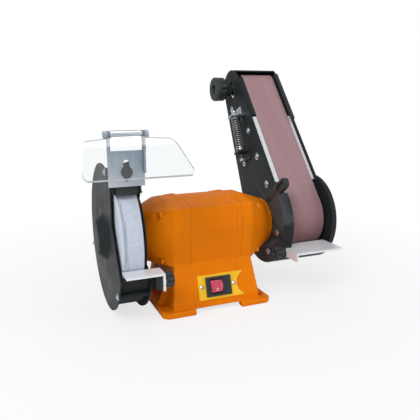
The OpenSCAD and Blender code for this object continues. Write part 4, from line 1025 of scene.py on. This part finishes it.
class GRINDER_OT_rollers(bpy.types.Operator):
    """Builds the drum, the idler and its slide"""

    bl_idname = "grinder.rollers"
    bl_label = "Rollers"

    def execute(self, context):
        edge = sizes().nut_edge
        soft_piece("drum_core", "drum_hub", edge)
        soft_piece("drum_tread", "drum_tyre", edge)
        soft_piece("drum_lock_nut", "drum_nut", edge)
        self.crowned_idler()
        soft_piece("idler_axle", "idler_carrier", edge)
        soft_piece("idler_slide", "slide_plate", sizes().sheet_edge)
        return {"FINISHED"}

    def crowned_idler(self):
        """The idler roller, a little fuller at its middle so that the belt stays on when it tilts."""
        low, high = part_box("idler_roller")
        middle, half = (low.x + high.x) / 2, (high.x - low.x) / 2
        hub = centre_of("idler_roller")
        full = (high.z - low.z) / 2
        work = node_copy("idler_roller")
        for k in range(-5, 6):
            whole = work.verts[:] + work.edges[:] + work.faces[:]
            place = (middle + half * k / 6, 0, 0)
            bmesh.ops.bisect_plane(work, geom=whole, dist=1e-7, plane_co=place, plane_no=(1, 0, 0))
        for vert in work.verts:
            arm = Vector((0, vert.co.y - hub.y, vert.co.z - hub.z))
            if arm.length > 0.9 * full:
                drop = sizes().idler_crown * ((vert.co.x - middle) / half) ** 2
                vert.co -= arm.normalized() * (sizes().idler_room + drop)
        piece = from_bmesh("idler_wheel", work, finish_of(SLOT_OF["idler_roller"]))
        smooth(piece)
        stand_for(piece, "idler_roller")


class GRINDER_OT_belt(bpy.types.Operator):
    """Builds the sanding belt over its two rollers and the platen behind it"""

    bl_idname = "grinder.belt"
    bl_label = "Sanding belt"

    def execute(self, context):
        soft_piece("belt_platen", "platen", sizes().sheet_edge, paint=finish_of("rest_plates"))
        low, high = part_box("sanding_belt")
        lean = math.radians(39.4)
        ahead = Vector((0, -math.cos(lean), math.sin(lean)))
        along = Vector((0, math.sin(lean), math.cos(lean)))
        offset = IDLER - SHAFT
        idler_n, idler_a = offset.dot(ahead) / MM, offset.dot(along) / MM
        inner, outer = 38.6, 39.6
        small = outer - idler_n
        back = 2 * math.atan2(idler_n, idler_a)
        stations = []
        for i in range(61):
            turn = -math.pi - back + (math.pi + back) * i / 60
            stations.append((0, 0, turn, inner, outer))
        flat = 48
        for i in range(1, flat):
            stations.append((0, idler_a * i / flat, 0, inner, outer))
        for i in range(37):
            turn = (math.pi - back) * i / 36
            stations.append((idler_n, idler_a, turn, small - 1, small))
        first = stations[0]
        last = stations[-1]
        rows = []
        for n, a, turn, r_in, r_out in stations:
            way = ahead * math.cos(turn) + along * math.sin(turn)
            hub = SHAFT + ahead * n * MM + along * a * MM
            rows.append((hub + way * r_in * MM, hub + way * r_out * MM))
        tail, head = rows[-1], rows[0]
        for i in range(1, flat):
            t = i / flat
            rows.append((tail[0].lerp(head[0], t), tail[1].lerp(head[1], t)))
        work = bmesh.new()
        layer = work.loops.layers.uv.new("UVMap")
        x0, x1 = low.x, high.x
        columns = [x0 + (x1 - x0) * i / 6 for i in range(7)]
        rings = []
        for under, over in rows:
            ring = [work.verts.new((x, over.y, over.z)) for x in columns]
            ring += [work.verts.new((x, under.y, under.z)) for x in reversed(columns)]
            rings.append(ring)
        length = 0.0
        for k in range(len(rows)):
            after = (k + 1) % len(rows)
            step = (rows[after][1] - rows[k][1]).length
            for i in range(14):
                j = (i + 1) % 14
                face = work.faces.new((rings[k][i], rings[k][j], rings[after][j], rings[after][i]))
                if i >= 6:
                    face.material_index = 1
                for loop in face.loops:
                    gone = length + (step if loop.vert in (rings[after][i], rings[after][j]) else 0)
                    loop[layer].uv = (loop.vert.co.x - x0, gone)
            length += step
        bmesh.ops.recalc_face_normals(work, faces=work.faces[:])
        belt = from_bmesh("grit_belt", work, finish_of("abrasive_belt"), belt_cloth(None))
        smooth(belt, 40, False)
        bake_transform(belt)
        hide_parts("sanding_belt")
        return {"FINISHED"}


def tree_with(name, *sockets):
    """A geometry tree with named inputs, given as (label, kind, default)."""
    tree = bpy.data.node_groups.new(name, "GeometryNodeTree")
    tree.interface.new_socket("Geometry", in_out="INPUT", socket_type="NodeSocketGeometry")
    for label, kind, value in sockets:
        socket = tree.interface.new_socket(label, in_out="INPUT", socket_type=kind)
        if value is not None:
            socket.default_value = value
    tree.interface.new_socket("Geometry", in_out="OUTPUT", socket_type="NodeSocketGeometry")
    return tree, tree.nodes.new("NodeGroupInput"), tree.nodes.new("NodeGroupOutput")


def run_tree(piece, tree, values):
    """Runs a geometry tree on a piece and keeps its plain mesh."""
    modifier = piece.modifiers.new("made", "NODES")
    modifier.node_group = tree
    for item in tree.interface.items_tree:
        if item.in_out == "INPUT" and item.name in values:
            modifier[item.identifier] = values[item.name]
    piece.update_tag()
    bpy.context.view_layer.update()
    return settle(piece)


def join_nodes(tree, *pairs):
    for source, target in pairs:
        tree.links.new(source, target)


def coil_tree():
    """A wound spring along Z with closed end turns."""
    tree, start, end = tree_with(
        "coil", ("Turns", "NodeSocketFloat", 10.0), ("Radius", "NodeSocketFloat", 0.005),
        ("Length", "NodeSocketFloat", 0.05), ("Wire", "NodeSocketFloat", 0.001), ("Finish", "NodeSocketMaterial", None))
    add = tree.nodes.new
    spiral = add("GeometryNodeCurveSpiral")
    spiral.inputs["Resolution"].default_value = 28
    spread = add("GeometryNodeSetPosition")
    along = add("GeometryNodeSplineParameter")
    pitch = add("ShaderNodeFloatCurve")
    points = pitch.mapping.curves[0].points
    points.new(0.065, 0.024)
    points.new(0.935, 0.976)
    for point in points:
        point.handle_type = "VECTOR"
    pitch.mapping.update()
    rise = add("ShaderNodeMath")
    rise.operation = "MULTIPLY"
    place = add("GeometryNodeInputPosition")
    split = add("ShaderNodeSeparateXYZ")
    pack = add("ShaderNodeCombineXYZ")
    ring = add("GeometryNodeCurvePrimitiveCircle")
    ring.inputs["Resolution"].default_value = 12
    half = add("ShaderNodeMath")
    half.operation = "MULTIPLY"
    half.inputs[1].default_value = 0.5
    sweep = add("GeometryNodeCurveToMesh")
    sweep.inputs["Fill Caps"].default_value = True
    shade = add("GeometryNodeSetShadeSmooth")
    realize = add("GeometryNodeRealizeInstances")
    paint = add("GeometryNodeSetMaterial")
    join_nodes(
        tree, (start.outputs["Turns"], spiral.inputs["Rotations"]), (start.outputs["Radius"], spiral.inputs["Start Radius"]),
        (start.outputs["Radius"], spiral.inputs["End Radius"]), (start.outputs["Length"], spiral.inputs["Height"]),
        (spiral.outputs["Curve"], spread.inputs["Geometry"]), (along.outputs["Factor"], pitch.inputs["Value"]),
        (pitch.outputs["Value"], rise.inputs[0]), (start.outputs["Length"], rise.inputs[1]),
        (place.outputs["Position"], split.inputs[0]), (split.outputs["X"], pack.inputs["X"]),
        (split.outputs["Y"], pack.inputs["Y"]), (rise.outputs[0], pack.inputs["Z"]),
        (pack.outputs[0], spread.inputs["Position"]), (start.outputs["Wire"], half.inputs[0]),
        (half.outputs[0], ring.inputs["Radius"]), (spread.outputs["Geometry"], sweep.inputs["Curve"]),
        (ring.outputs["Curve"], sweep.inputs["Profile Curve"]), (sweep.outputs["Mesh"], shade.inputs["Geometry"]),
        (shade.outputs["Geometry"], realize.inputs["Geometry"]), (realize.outputs["Geometry"], paint.inputs["Geometry"]),
        (start.outputs["Finish"], paint.inputs["Material"]), (paint.outputs["Geometry"], end.inputs["Geometry"]))
    return tree


class GRINDER_OT_tension(bpy.types.Operator):
    """Builds the tension spring, its rod and brackets, the lever and the tracking knob"""

    bl_idname = "grinder.tension"
    bl_label = "Belt tension"

    def execute(self, context):
        edge = sizes().sheet_edge
        soft_piece("spring_ledge", "upper_spring_bracket", edge)
        soft_piece("spring_stop", "lower_spring_bracket", edge)
        rod = soft_piece("spring_rod", "tension_rod", sizes().nut_edge)
        self.shade_rod_in_coil(rod)
        soft_piece("release_lever", "tension_lever", sizes().lever_edge, 4)
        self.coil()
        self.knob()
        return {"FINISHED"}

    def shade_rod_in_coil(self, rod):
        """Blackens the stretch of the rod inside the coil: painted shade where the coil shades it."""
        low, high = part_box("tension_spring")
        middle = (low + high) / 2
        rod.data.materials.append(finish_of("black_bolt"))
        for face in rod.data.polygons:
            if abs((face.center - middle).dot(SLIDE_AXIS)) < 26 * MM:
                face.material_index = 1

    def coil(self):
        low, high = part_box("tension_spring")
        middle = (low + high) / 2
        wire = sizes().coil_wire
        radius = (12.5 * MM - wire) / 2
        length = 52 * MM - wire
        seed = bpy.data.meshes.new("coil_seed")
        spring = new_piece("coil_spring", seed)
        run_tree(spring, coil_tree(), {"Turns": sizes().coil_turns, "Radius": radius, "Length": length, "Wire": wire,
                                       "Finish": spring_steel(bpy.context.scene.grinder_colours.steel)})
        turn = Vector((0, 0, 1)).rotation_difference(SLIDE_AXIS).to_matrix().to_4x4()
        foot = middle - SLIDE_AXIS * length / 2
        spring.data.transform(Matrix.Translation(foot) @ turn)
        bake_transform(spring)
        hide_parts("tension_spring")
        cups = bmesh.new()
        for share, width in ((0.035, 1.4), (0.085, 0.9)):
            self.cup(cups, foot + SLIDE_AXIS * (length * share), turn, 7.1, 2.4, width)
        collar = from_bmesh("coil_collar", cups, finish_of("zinc_steel"))
        smooth(collar, 40)
        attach(collar, "belt_arm")

    def cup(self, work, place, turn, radius, bore, height):
        """A plain washer with soft rims round the rod."""
        outline = [(bore, -height / 2), (radius - 0.3, -height / 2), (radius, -height / 2 + 0.3),
                   (radius, height / 2 - 0.3), (radius - 0.3, height / 2), (bore, height / 2)]
        matrix = Matrix.Translation(place) @ turn
        rings = []
        for r, z in outline:
            rings.append([work.verts.new(matrix @ mm(r * math.cos(t * math.pi / 24), r * math.sin(t * math.pi / 24), z))
                          for t in range(48)])
        for k in range(len(rings)):
            after = rings[(k + 1) % len(rings)]
            for i in range(48):
                work.faces.new((rings[k][i], rings[k][(i + 1) % 48], after[(i + 1) % 48], after[i]))
        bmesh.ops.recalc_face_normals(work, faces=work.faces[:])

    def knob(self):
        centre = Vector(JOINTS["tracking_turn"]["pos_m"]) / MM
        low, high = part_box("tracking_knob")
        x0, x1 = low.x / MM, high.x / MM
        radius = 17.5
        outline = [(4, 0, 0), (4, 5.6, 0), (0.6, 6.6, 0), (0, 7.4, 0), (0, 15.4, 0), (0.5, 16.7, 0), (1.6, 17.4, 0),
                   (5.4, 17.5, 0), (6.0, 17.3, 0), (6.3, 17.2, 0.7), (6.9, 17.2, 1), (15.2, 17.0, 1), (16.4, 16.2, 0.8),
                   (17, 14.8, 0.3), (17, 11, 0), (17.5, 10.6, 0), (26.2, 10.4, 0), (26.5, 10, 0), (26.5, 2.8, 0),
                   (x1 - x0, 2.8, 0), (x1 - x0, 0, 0)]
        work = bmesh.new()
        turned(work, [(x0 + x, r, s) for x, r, s in outline], (centre.y, centre.z), 160,
               sizes().tracking_flutes, radius * 0.14)
        knob = from_bmesh("tracking_grip", work, finish_of("black_plastic"))
        smooth(knob, 45)
        stand_for(knob, "tracking_knob")


class GRINDER_OT_belt_rest(bpy.types.Operator):
    """Builds the belt's tool rest and its clamp knob"""

    bl_idname = "grinder.belt_rest"
    bl_label = "Belt rest"

    def execute(self, context):
        soft_piece("belt_ledge", "belt_tool_rest", sizes().plate_edge, paint=finish_of("rest_plates"))
        low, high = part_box("belt_rest_knob")
        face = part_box("drum_guard")[0].x / MM - 1.5
        clamp_knob("belt_ledge_knob", "belt_rest_knob", face, low.x / MM)
        return {"FINISHED"}


def screw_tree():
    """Domed screws with a cross recess and a washer, on points that carry an axis and a size."""
    tree, start, end = tree_with(
        "screw_set", ("Head Radius", "NodeSocketFloat", 1.0), ("Head Height", "NodeSocketFloat", 0.5),
        ("Recess Width", "NodeSocketFloat", 0.22), ("Recess Length", "NodeSocketFloat", 1.15),
        ("Washer Radius", "NodeSocketFloat", 1.3), ("Finish", "NodeSocketMaterial", None))
    add = tree.nodes.new
    head = add("GeometryNodeMeshCylinder")
    head.fill_type = "TRIANGLE_FAN"
    head.inputs["Vertices"].default_value = 32
    head.inputs["Fill Segments"].default_value = 6
    head.inputs["Depth"].default_value = 0.3
    dome = add("GeometryNodeSetPosition")
    place = add("GeometryNodeInputPosition")
    split = add("ShaderNodeSeparateXYZ")
    flat = add("ShaderNodeCombineXYZ")
    reach = add("ShaderNodeVectorMath")
    reach.operation = "LENGTH"
    square = add("ShaderNodeMath")
    square.operation = "POWER"
    square.inputs[1].default_value = 2.0
    rest = add("ShaderNodeMath")
    rest.operation = "SUBTRACT"
    rest.inputs[0].default_value = 1.0
    lift = add("ShaderNodeMath")
    lift.operation = "MULTIPLY"
    raised = add("ShaderNodeMath")
    raised.operation = "GREATER_THAN"
    raised.inputs[1].default_value = 0.0
    only_top = add("ShaderNodeMath")
    only_top.operation = "MULTIPLY"
    shift = add("ShaderNodeCombineXYZ")
    bars = []
    for axis in (0, 1):
        size = add("ShaderNodeCombineXYZ")
        bar = add("GeometryNodeMeshCube")
        size.inputs["Z"].default_value = 0.7
        names = ("Recess Length", "Recess Width") if axis == 0 else ("Recess Width", "Recess Length")
        tree.links.new(start.outputs[names[0]], size.inputs["X"])
        tree.links.new(start.outputs[names[1]], size.inputs["Y"])
        tree.links.new(size.outputs[0], bar.inputs["Size"])
        move = add("GeometryNodeTransform")
        move.inputs["Translation"].default_value = (0, 0, 0.62)
        tree.links.new(bar.outputs["Mesh"], move.inputs["Geometry"])
        bars.append(move)
    cut = add("GeometryNodeMeshBoolean")
    cut.operation = "DIFFERENCE"
    washer = add("GeometryNodeMeshCylinder")
    washer.inputs["Vertices"].default_value = 32
    washer.inputs["Depth"].default_value = 0.18
    together = add("GeometryNodeJoinGeometry")
    axis_value = add("GeometryNodeInputNamedAttribute")
    axis_value.data_type = "FLOAT_VECTOR"
    axis_value.inputs["Name"].default_value = "axis"
    size_value = add("GeometryNodeInputNamedAttribute")
    size_value.data_type = "FLOAT"
    size_value.inputs["Name"].default_value = "size"
    aim = add("FunctionNodeAlignRotationToVector")
    aim.axis = "Z"
    spread = add("GeometryNodeInstanceOnPoints")
    realize = add("GeometryNodeRealizeInstances")
    paint = add("GeometryNodeSetMaterial")
    join_nodes(
        tree, (start.outputs["Head Radius"], head.inputs["Radius"]), (head.outputs["Mesh"], dome.inputs["Geometry"]),
        (place.outputs["Position"], split.inputs[0]), (split.outputs["X"], flat.inputs["X"]),
        (split.outputs["Y"], flat.inputs["Y"]), (flat.outputs[0], reach.inputs[0]),
        (reach.outputs["Value"], square.inputs[0]), (square.outputs[0], rest.inputs[1]),
        (rest.outputs[0], lift.inputs[0]), (start.outputs["Head Height"], lift.inputs[1]),
        (split.outputs["Z"], raised.inputs[0]), (lift.outputs[0], only_top.inputs[0]),
        (raised.outputs[0], only_top.inputs[1]), (only_top.outputs[0], shift.inputs["Z"]),
        (shift.outputs[0], dome.inputs["Offset"]), (dome.outputs["Geometry"], cut.inputs["Mesh 1"]),
        (bars[0].outputs["Geometry"], cut.inputs["Mesh 2"]), (bars[1].outputs["Geometry"], cut.inputs["Mesh 2"]),
        (start.outputs["Washer Radius"], washer.inputs["Radius"]), (cut.outputs["Mesh"], together.inputs["Geometry"]),
        (washer.outputs["Mesh"], together.inputs["Geometry"]), (start.outputs["Geometry"], spread.inputs["Points"]),
        (together.outputs["Geometry"], spread.inputs["Instance"]), (axis_value.outputs["Attribute"], aim.inputs["Vector"]),
        (aim.outputs["Rotation"], spread.inputs["Rotation"]), (size_value.outputs["Attribute"], spread.inputs["Scale"]),
        (spread.outputs["Instances"], realize.inputs["Geometry"]), (realize.outputs["Geometry"], paint.inputs["Geometry"]),
        (start.outputs["Finish"], paint.inputs["Material"]), (paint.outputs["Geometry"], end.inputs["Geometry"]))
    return tree


def loose_boxes(node):
    """The boxes of a node's separate solids, in metres."""
    work = bmesh.new()
    work.from_mesh(NODES[node].data)
    bmesh.ops.remove_doubles(work, verts=work.verts, dist=1e-6)
    left = set(work.verts)
    boxes = []
    while left:
        stack = [left.pop()]
        island = []
        while stack:
            vert = stack.pop()
            island.append(vert.co.copy())
            for edge in vert.link_edges:
                other = edge.other_vert(vert)
                if other in left:
                    left.discard(other)
                    stack.append(other)
        low = Vector([min(p[i] for p in island) for i in range(3)])
        high = Vector([max(p[i] for p in island) for i in range(3)])
        boxes.append((low, high))
    work.free()
    return boxes


class GRINDER_OT_screws(bpy.types.Operator):
    """Sets the domed screws and pins with their washers"""

    bl_idname = "grinder.screws"
    bl_label = "Screws"

    def execute(self, context):
        tree = screw_tree()
        left, right = Vector((-1, 0, 0)), Vector((1, 0, 0))
        base = [(*spot, left, 3.3) for spot in self.ends("guard_cover_screws", False, 1.9)]
        base += [(*spot, left, 4.0) for spot in self.ends("guard_mount_screws", False, 1.7)]
        base += [(*spot, right, 3.5) for spot in self.ends("arm_clamp_screws", True, 1.8)]
        tilt = math.atan2(12, 43)
        out = Vector((0, -math.cos(tilt), math.sin(tilt)))
        for low, high in loose_boxes("switch_plate_screws"):
            seat = Vector(((low.x + high.x) / 2, low.y, high.z))
            middle = Vector((seat.x, (low.y + high.y) / 2, (low.z + high.z) / 2))
            reach = ((high - low) / 2).dot(Vector((0, -out.y, out.z)))
            base.append((middle + out * (reach - 3.2 * MM), out, 2.6))
        self.set_of("base_screws", tree, [(p, a, s) for p, a, s in base],
                    "guard_cover_screws", "guard_mount_screws", "arm_clamp_screws", "switch_plate_screws")
        arm = [(*spot, left, 4.0) for spot in self.ends("platen_screws", False, 2.0)]
        arm += [(*spot, left, 4.0) for spot in self.ends("slide_pins", False, 2.0)]
        arm += [(*spot, right, 4.0) for spot in self.ends("outer_cover_screws", True, 2.9)]
        self.set_of("arm_screws", tree, arm, "platen_screws", "slide_pins", "outer_cover_screws")
        soft_piece("arm_spacer_bolts", "arm_spacers", 0.5 * MM, 3)
        return {"FINISHED"}

    def ends(self, node, high_end, seat):
        """The seats of a node's screw heads along X."""
        for low, high in loose_boxes(node):
            x = high.x - seat * MM if high_end else low.x + seat * MM
            yield (Vector((x, (low.y + high.y) / 2, (low.z + high.z) / 2)),)

    def set_of(self, name, tree, screws, *nodes):
        mesh = bpy.data.meshes.new(name)
        mesh.from_pydata([tuple(place) for place, _, _ in screws], [], [])
        mesh.attributes.new("axis", "FLOAT_VECTOR", "POINT")
        mesh.attributes.new("size", "FLOAT", "POINT")
        for i, (_, way, head) in enumerate(screws):
            mesh.attributes["axis"].data[i].vector = way
            mesh.attributes["size"].data[i].value = head * MM
        piece = new_piece(name, mesh)
        run_tree(piece, tree, {"Head Radius": 1.0, "Head Height": 0.55, "Recess Width": 0.2, "Recess Length": 1.1,
                               "Washer Radius": 1.25, "Finish": finish_of("zinc_steel")})
        smooth(piece, 40, False)
        stand_for(piece, *nodes)


class GRINDER_OT_stage(bpy.types.Operator):
    """Sets the floor, the light and the camera"""

    bl_idname = "grinder.stage"
    bl_label = "Stage"

    def execute(self, context):
        self.floor()
        self.world()
        self.lamp("key", (-1.2, -1.05, 1.4), 1.1, 24)
        self.lamp("fill", (1.3, -1.2, 0.9), 1.3, 6)
        self.lamp("rim", (0.2, 1.3, 1.5), 1.2, 4)
        self.camera()
        context.scene.view_settings.view_transform = "Standard"
        return {"FINISHED"}

    def floor(self):
        work = bmesh.new()
        bmesh.ops.create_grid(work, x_segments=8, y_segments=8, size=30)
        floor = from_bmesh("stage_floor", work)
        floor.location.z = -0.0003
        material = bpy.data.materials.new("stage_white")
        material.use_nodes = True
        tree = material.node_tree
        tree.nodes.clear()
        add = tree.nodes.new
        out, mix = add("ShaderNodeOutputMaterial"), add("ShaderNodeMixShader")
        matte, glow = add("ShaderNodeBsdfDiffuse"), add("ShaderNodeEmission")
        matte.inputs["Color"].default_value = (0.86, 0.86, 0.86, 1)
        coords, reach = add("ShaderNodeTexCoord"), add("ShaderNodeVectorMath")
        reach.operation = "LENGTH"
        fade = add("ShaderNodeMapRange")
        fade.inputs["From Min"].default_value = 0.18
        fade.inputs["From Max"].default_value = 0.55
        fade.inputs["To Min"].default_value = 0.72
        fade.inputs["To Max"].default_value = 1.0
        path = add("ShaderNodeLightPath")
        seen = add("ShaderNodeMath")
        seen.operation = "MAXIMUM"
        share = add("ShaderNodeMath")
        share.operation = "MULTIPLY"
        join_nodes(
            tree, (coords.outputs["Object"], reach.inputs[0]), (reach.outputs["Value"], fade.inputs["Value"]),
            (path.outputs["Is Camera Ray"], seen.inputs[0]), (path.outputs["Is Transmission Ray"], seen.inputs[1]),
            (seen.outputs[0], share.inputs[0]), (fade.outputs["Result"], share.inputs[1]),
            (share.outputs[0], mix.inputs[0]), (matte.outputs[0], mix.inputs[1]), (glow.outputs[0], mix.inputs[2]),
            (mix.outputs[0], out.inputs[0]))
        floor.data.materials.append(material)

    def world(self):
        world = bpy.data.worlds.new("studio")
        world.use_nodes = True
        tree = world.node_tree
        tree.nodes.clear()
        add = tree.nodes.new
        out, mix = add("ShaderNodeOutputWorld"), add("ShaderNodeMixShader")
        soft, white = add("ShaderNodeBackground"), add("ShaderNodeBackground")
        soft.inputs["Color"].default_value = (0.95, 0.97, 1.0, 1)
        soft.inputs["Strength"].default_value = 0.5
        white.inputs["Color"].default_value = (1, 1, 1, 1)
        path = add("ShaderNodeLightPath")
        seen = add("ShaderNodeMath")
        seen.operation = "MAXIMUM"
        join_nodes(
            tree, (path.outputs["Is Camera Ray"], seen.inputs[0]), (path.outputs["Is Transmission Ray"], seen.inputs[1]),
            (seen.outputs[0], mix.inputs[0]), (soft.outputs[0], mix.inputs[1]), (white.outputs[0], mix.inputs[2]),
            (mix.outputs[0], out.inputs[0]))
        bpy.context.scene.world = world

    def lamp(self, name, place, width, power):
        data = bpy.data.lights.new(name, "AREA")
        data.shape = "DISK"
        data.size = width
        data.energy = power
        lamp = bpy.data.objects.new(name, data)
        lamp.location = place
        aim = Vector((0.02, 0, 0.12)) - Vector(place)
        lamp.rotation_euler = aim.to_track_quat("-Z", "Y").to_euler()
        bpy.context.scene.collection.objects.link(lamp)

    def camera(self):
        turn, rise, roll = math.radians(22.14), math.radians(12.22), math.radians(-0.57)
        back = Vector((-math.sin(turn) * math.cos(rise), -math.cos(turn) * math.cos(rise), math.sin(rise)))
        right = Vector((math.cos(turn), -math.sin(turn), 0))
        up = back.cross(right)
        side = right * math.cos(roll) + up * math.sin(roll)
        top = up * math.cos(roll) - right * math.sin(roll)
        data = bpy.data.cameras.new("photo_camera")
        data.sensor_width = 36
        data.lens = 499.86 * 36 / 420
        data.clip_start = 0.01
        data.clip_end = 100
        camera = bpy.data.objects.new("photo_camera", data)
        place = mm(13.88, 0, 112.57) + back * 0.64861
        matrix = Matrix((side, top, back)).transposed().to_4x4()
        camera.matrix_world = Matrix.Translation(place) @ matrix
        bpy.context.scene.collection.objects.link(camera)
        bpy.context.scene.camera = camera


OPERATORS = (
    GRINDER_OT_stage, GRINDER_OT_castings, GRINDER_OT_motor_inside, GRINDER_OT_switch, GRINDER_OT_wheel,
    GRINDER_OT_guard, GRINDER_OT_shield, GRINDER_OT_wheel_rest, GRINDER_OT_arm_sheets, GRINDER_OT_rollers,
    GRINDER_OT_belt, GRINDER_OT_tension, GRINDER_OT_belt_rest, GRINDER_OT_screws)


class GRINDER_PT_panel(bpy.types.Panel):
    """Lists the steps that build the grinder"""

    bl_idname = "GRINDER_PT_panel"
    bl_label = "Grinder"
    bl_space_type = "VIEW_3D"
    bl_region_type = "UI"
    bl_category = "Grinder"

    def draw(self, context):
        for operator in OPERATORS:
            self.layout.operator(operator.bl_idname)
        for group in (context.scene.grinder_sizes, context.scene.grinder_colours):
            for label in group.__annotations__:
                self.layout.prop(group, label)


CLASSES = (GrinderSizes, GrinderColours, *OPERATORS, GRINDER_PT_panel)


def register():
    for cls in CLASSES:
        bpy.utils.register_class(cls)
    bpy.types.Scene.grinder_sizes = PointerProperty(type=GrinderSizes)
    bpy.types.Scene.grinder_colours = PointerProperty(type=GrinderColours)


def unregister():
    del bpy.types.Scene.grinder_colours
    del bpy.types.Scene.grinder_sizes
    for cls in reversed(CLASSES):
        bpy.utils.unregister_class(cls)


def main():
    register()
    for operator in OPERATORS:
        group, label = operator.bl_idname.split(".")
        getattr(getattr(bpy.ops, group), label)()


if __name__ == "__main__":
    main()
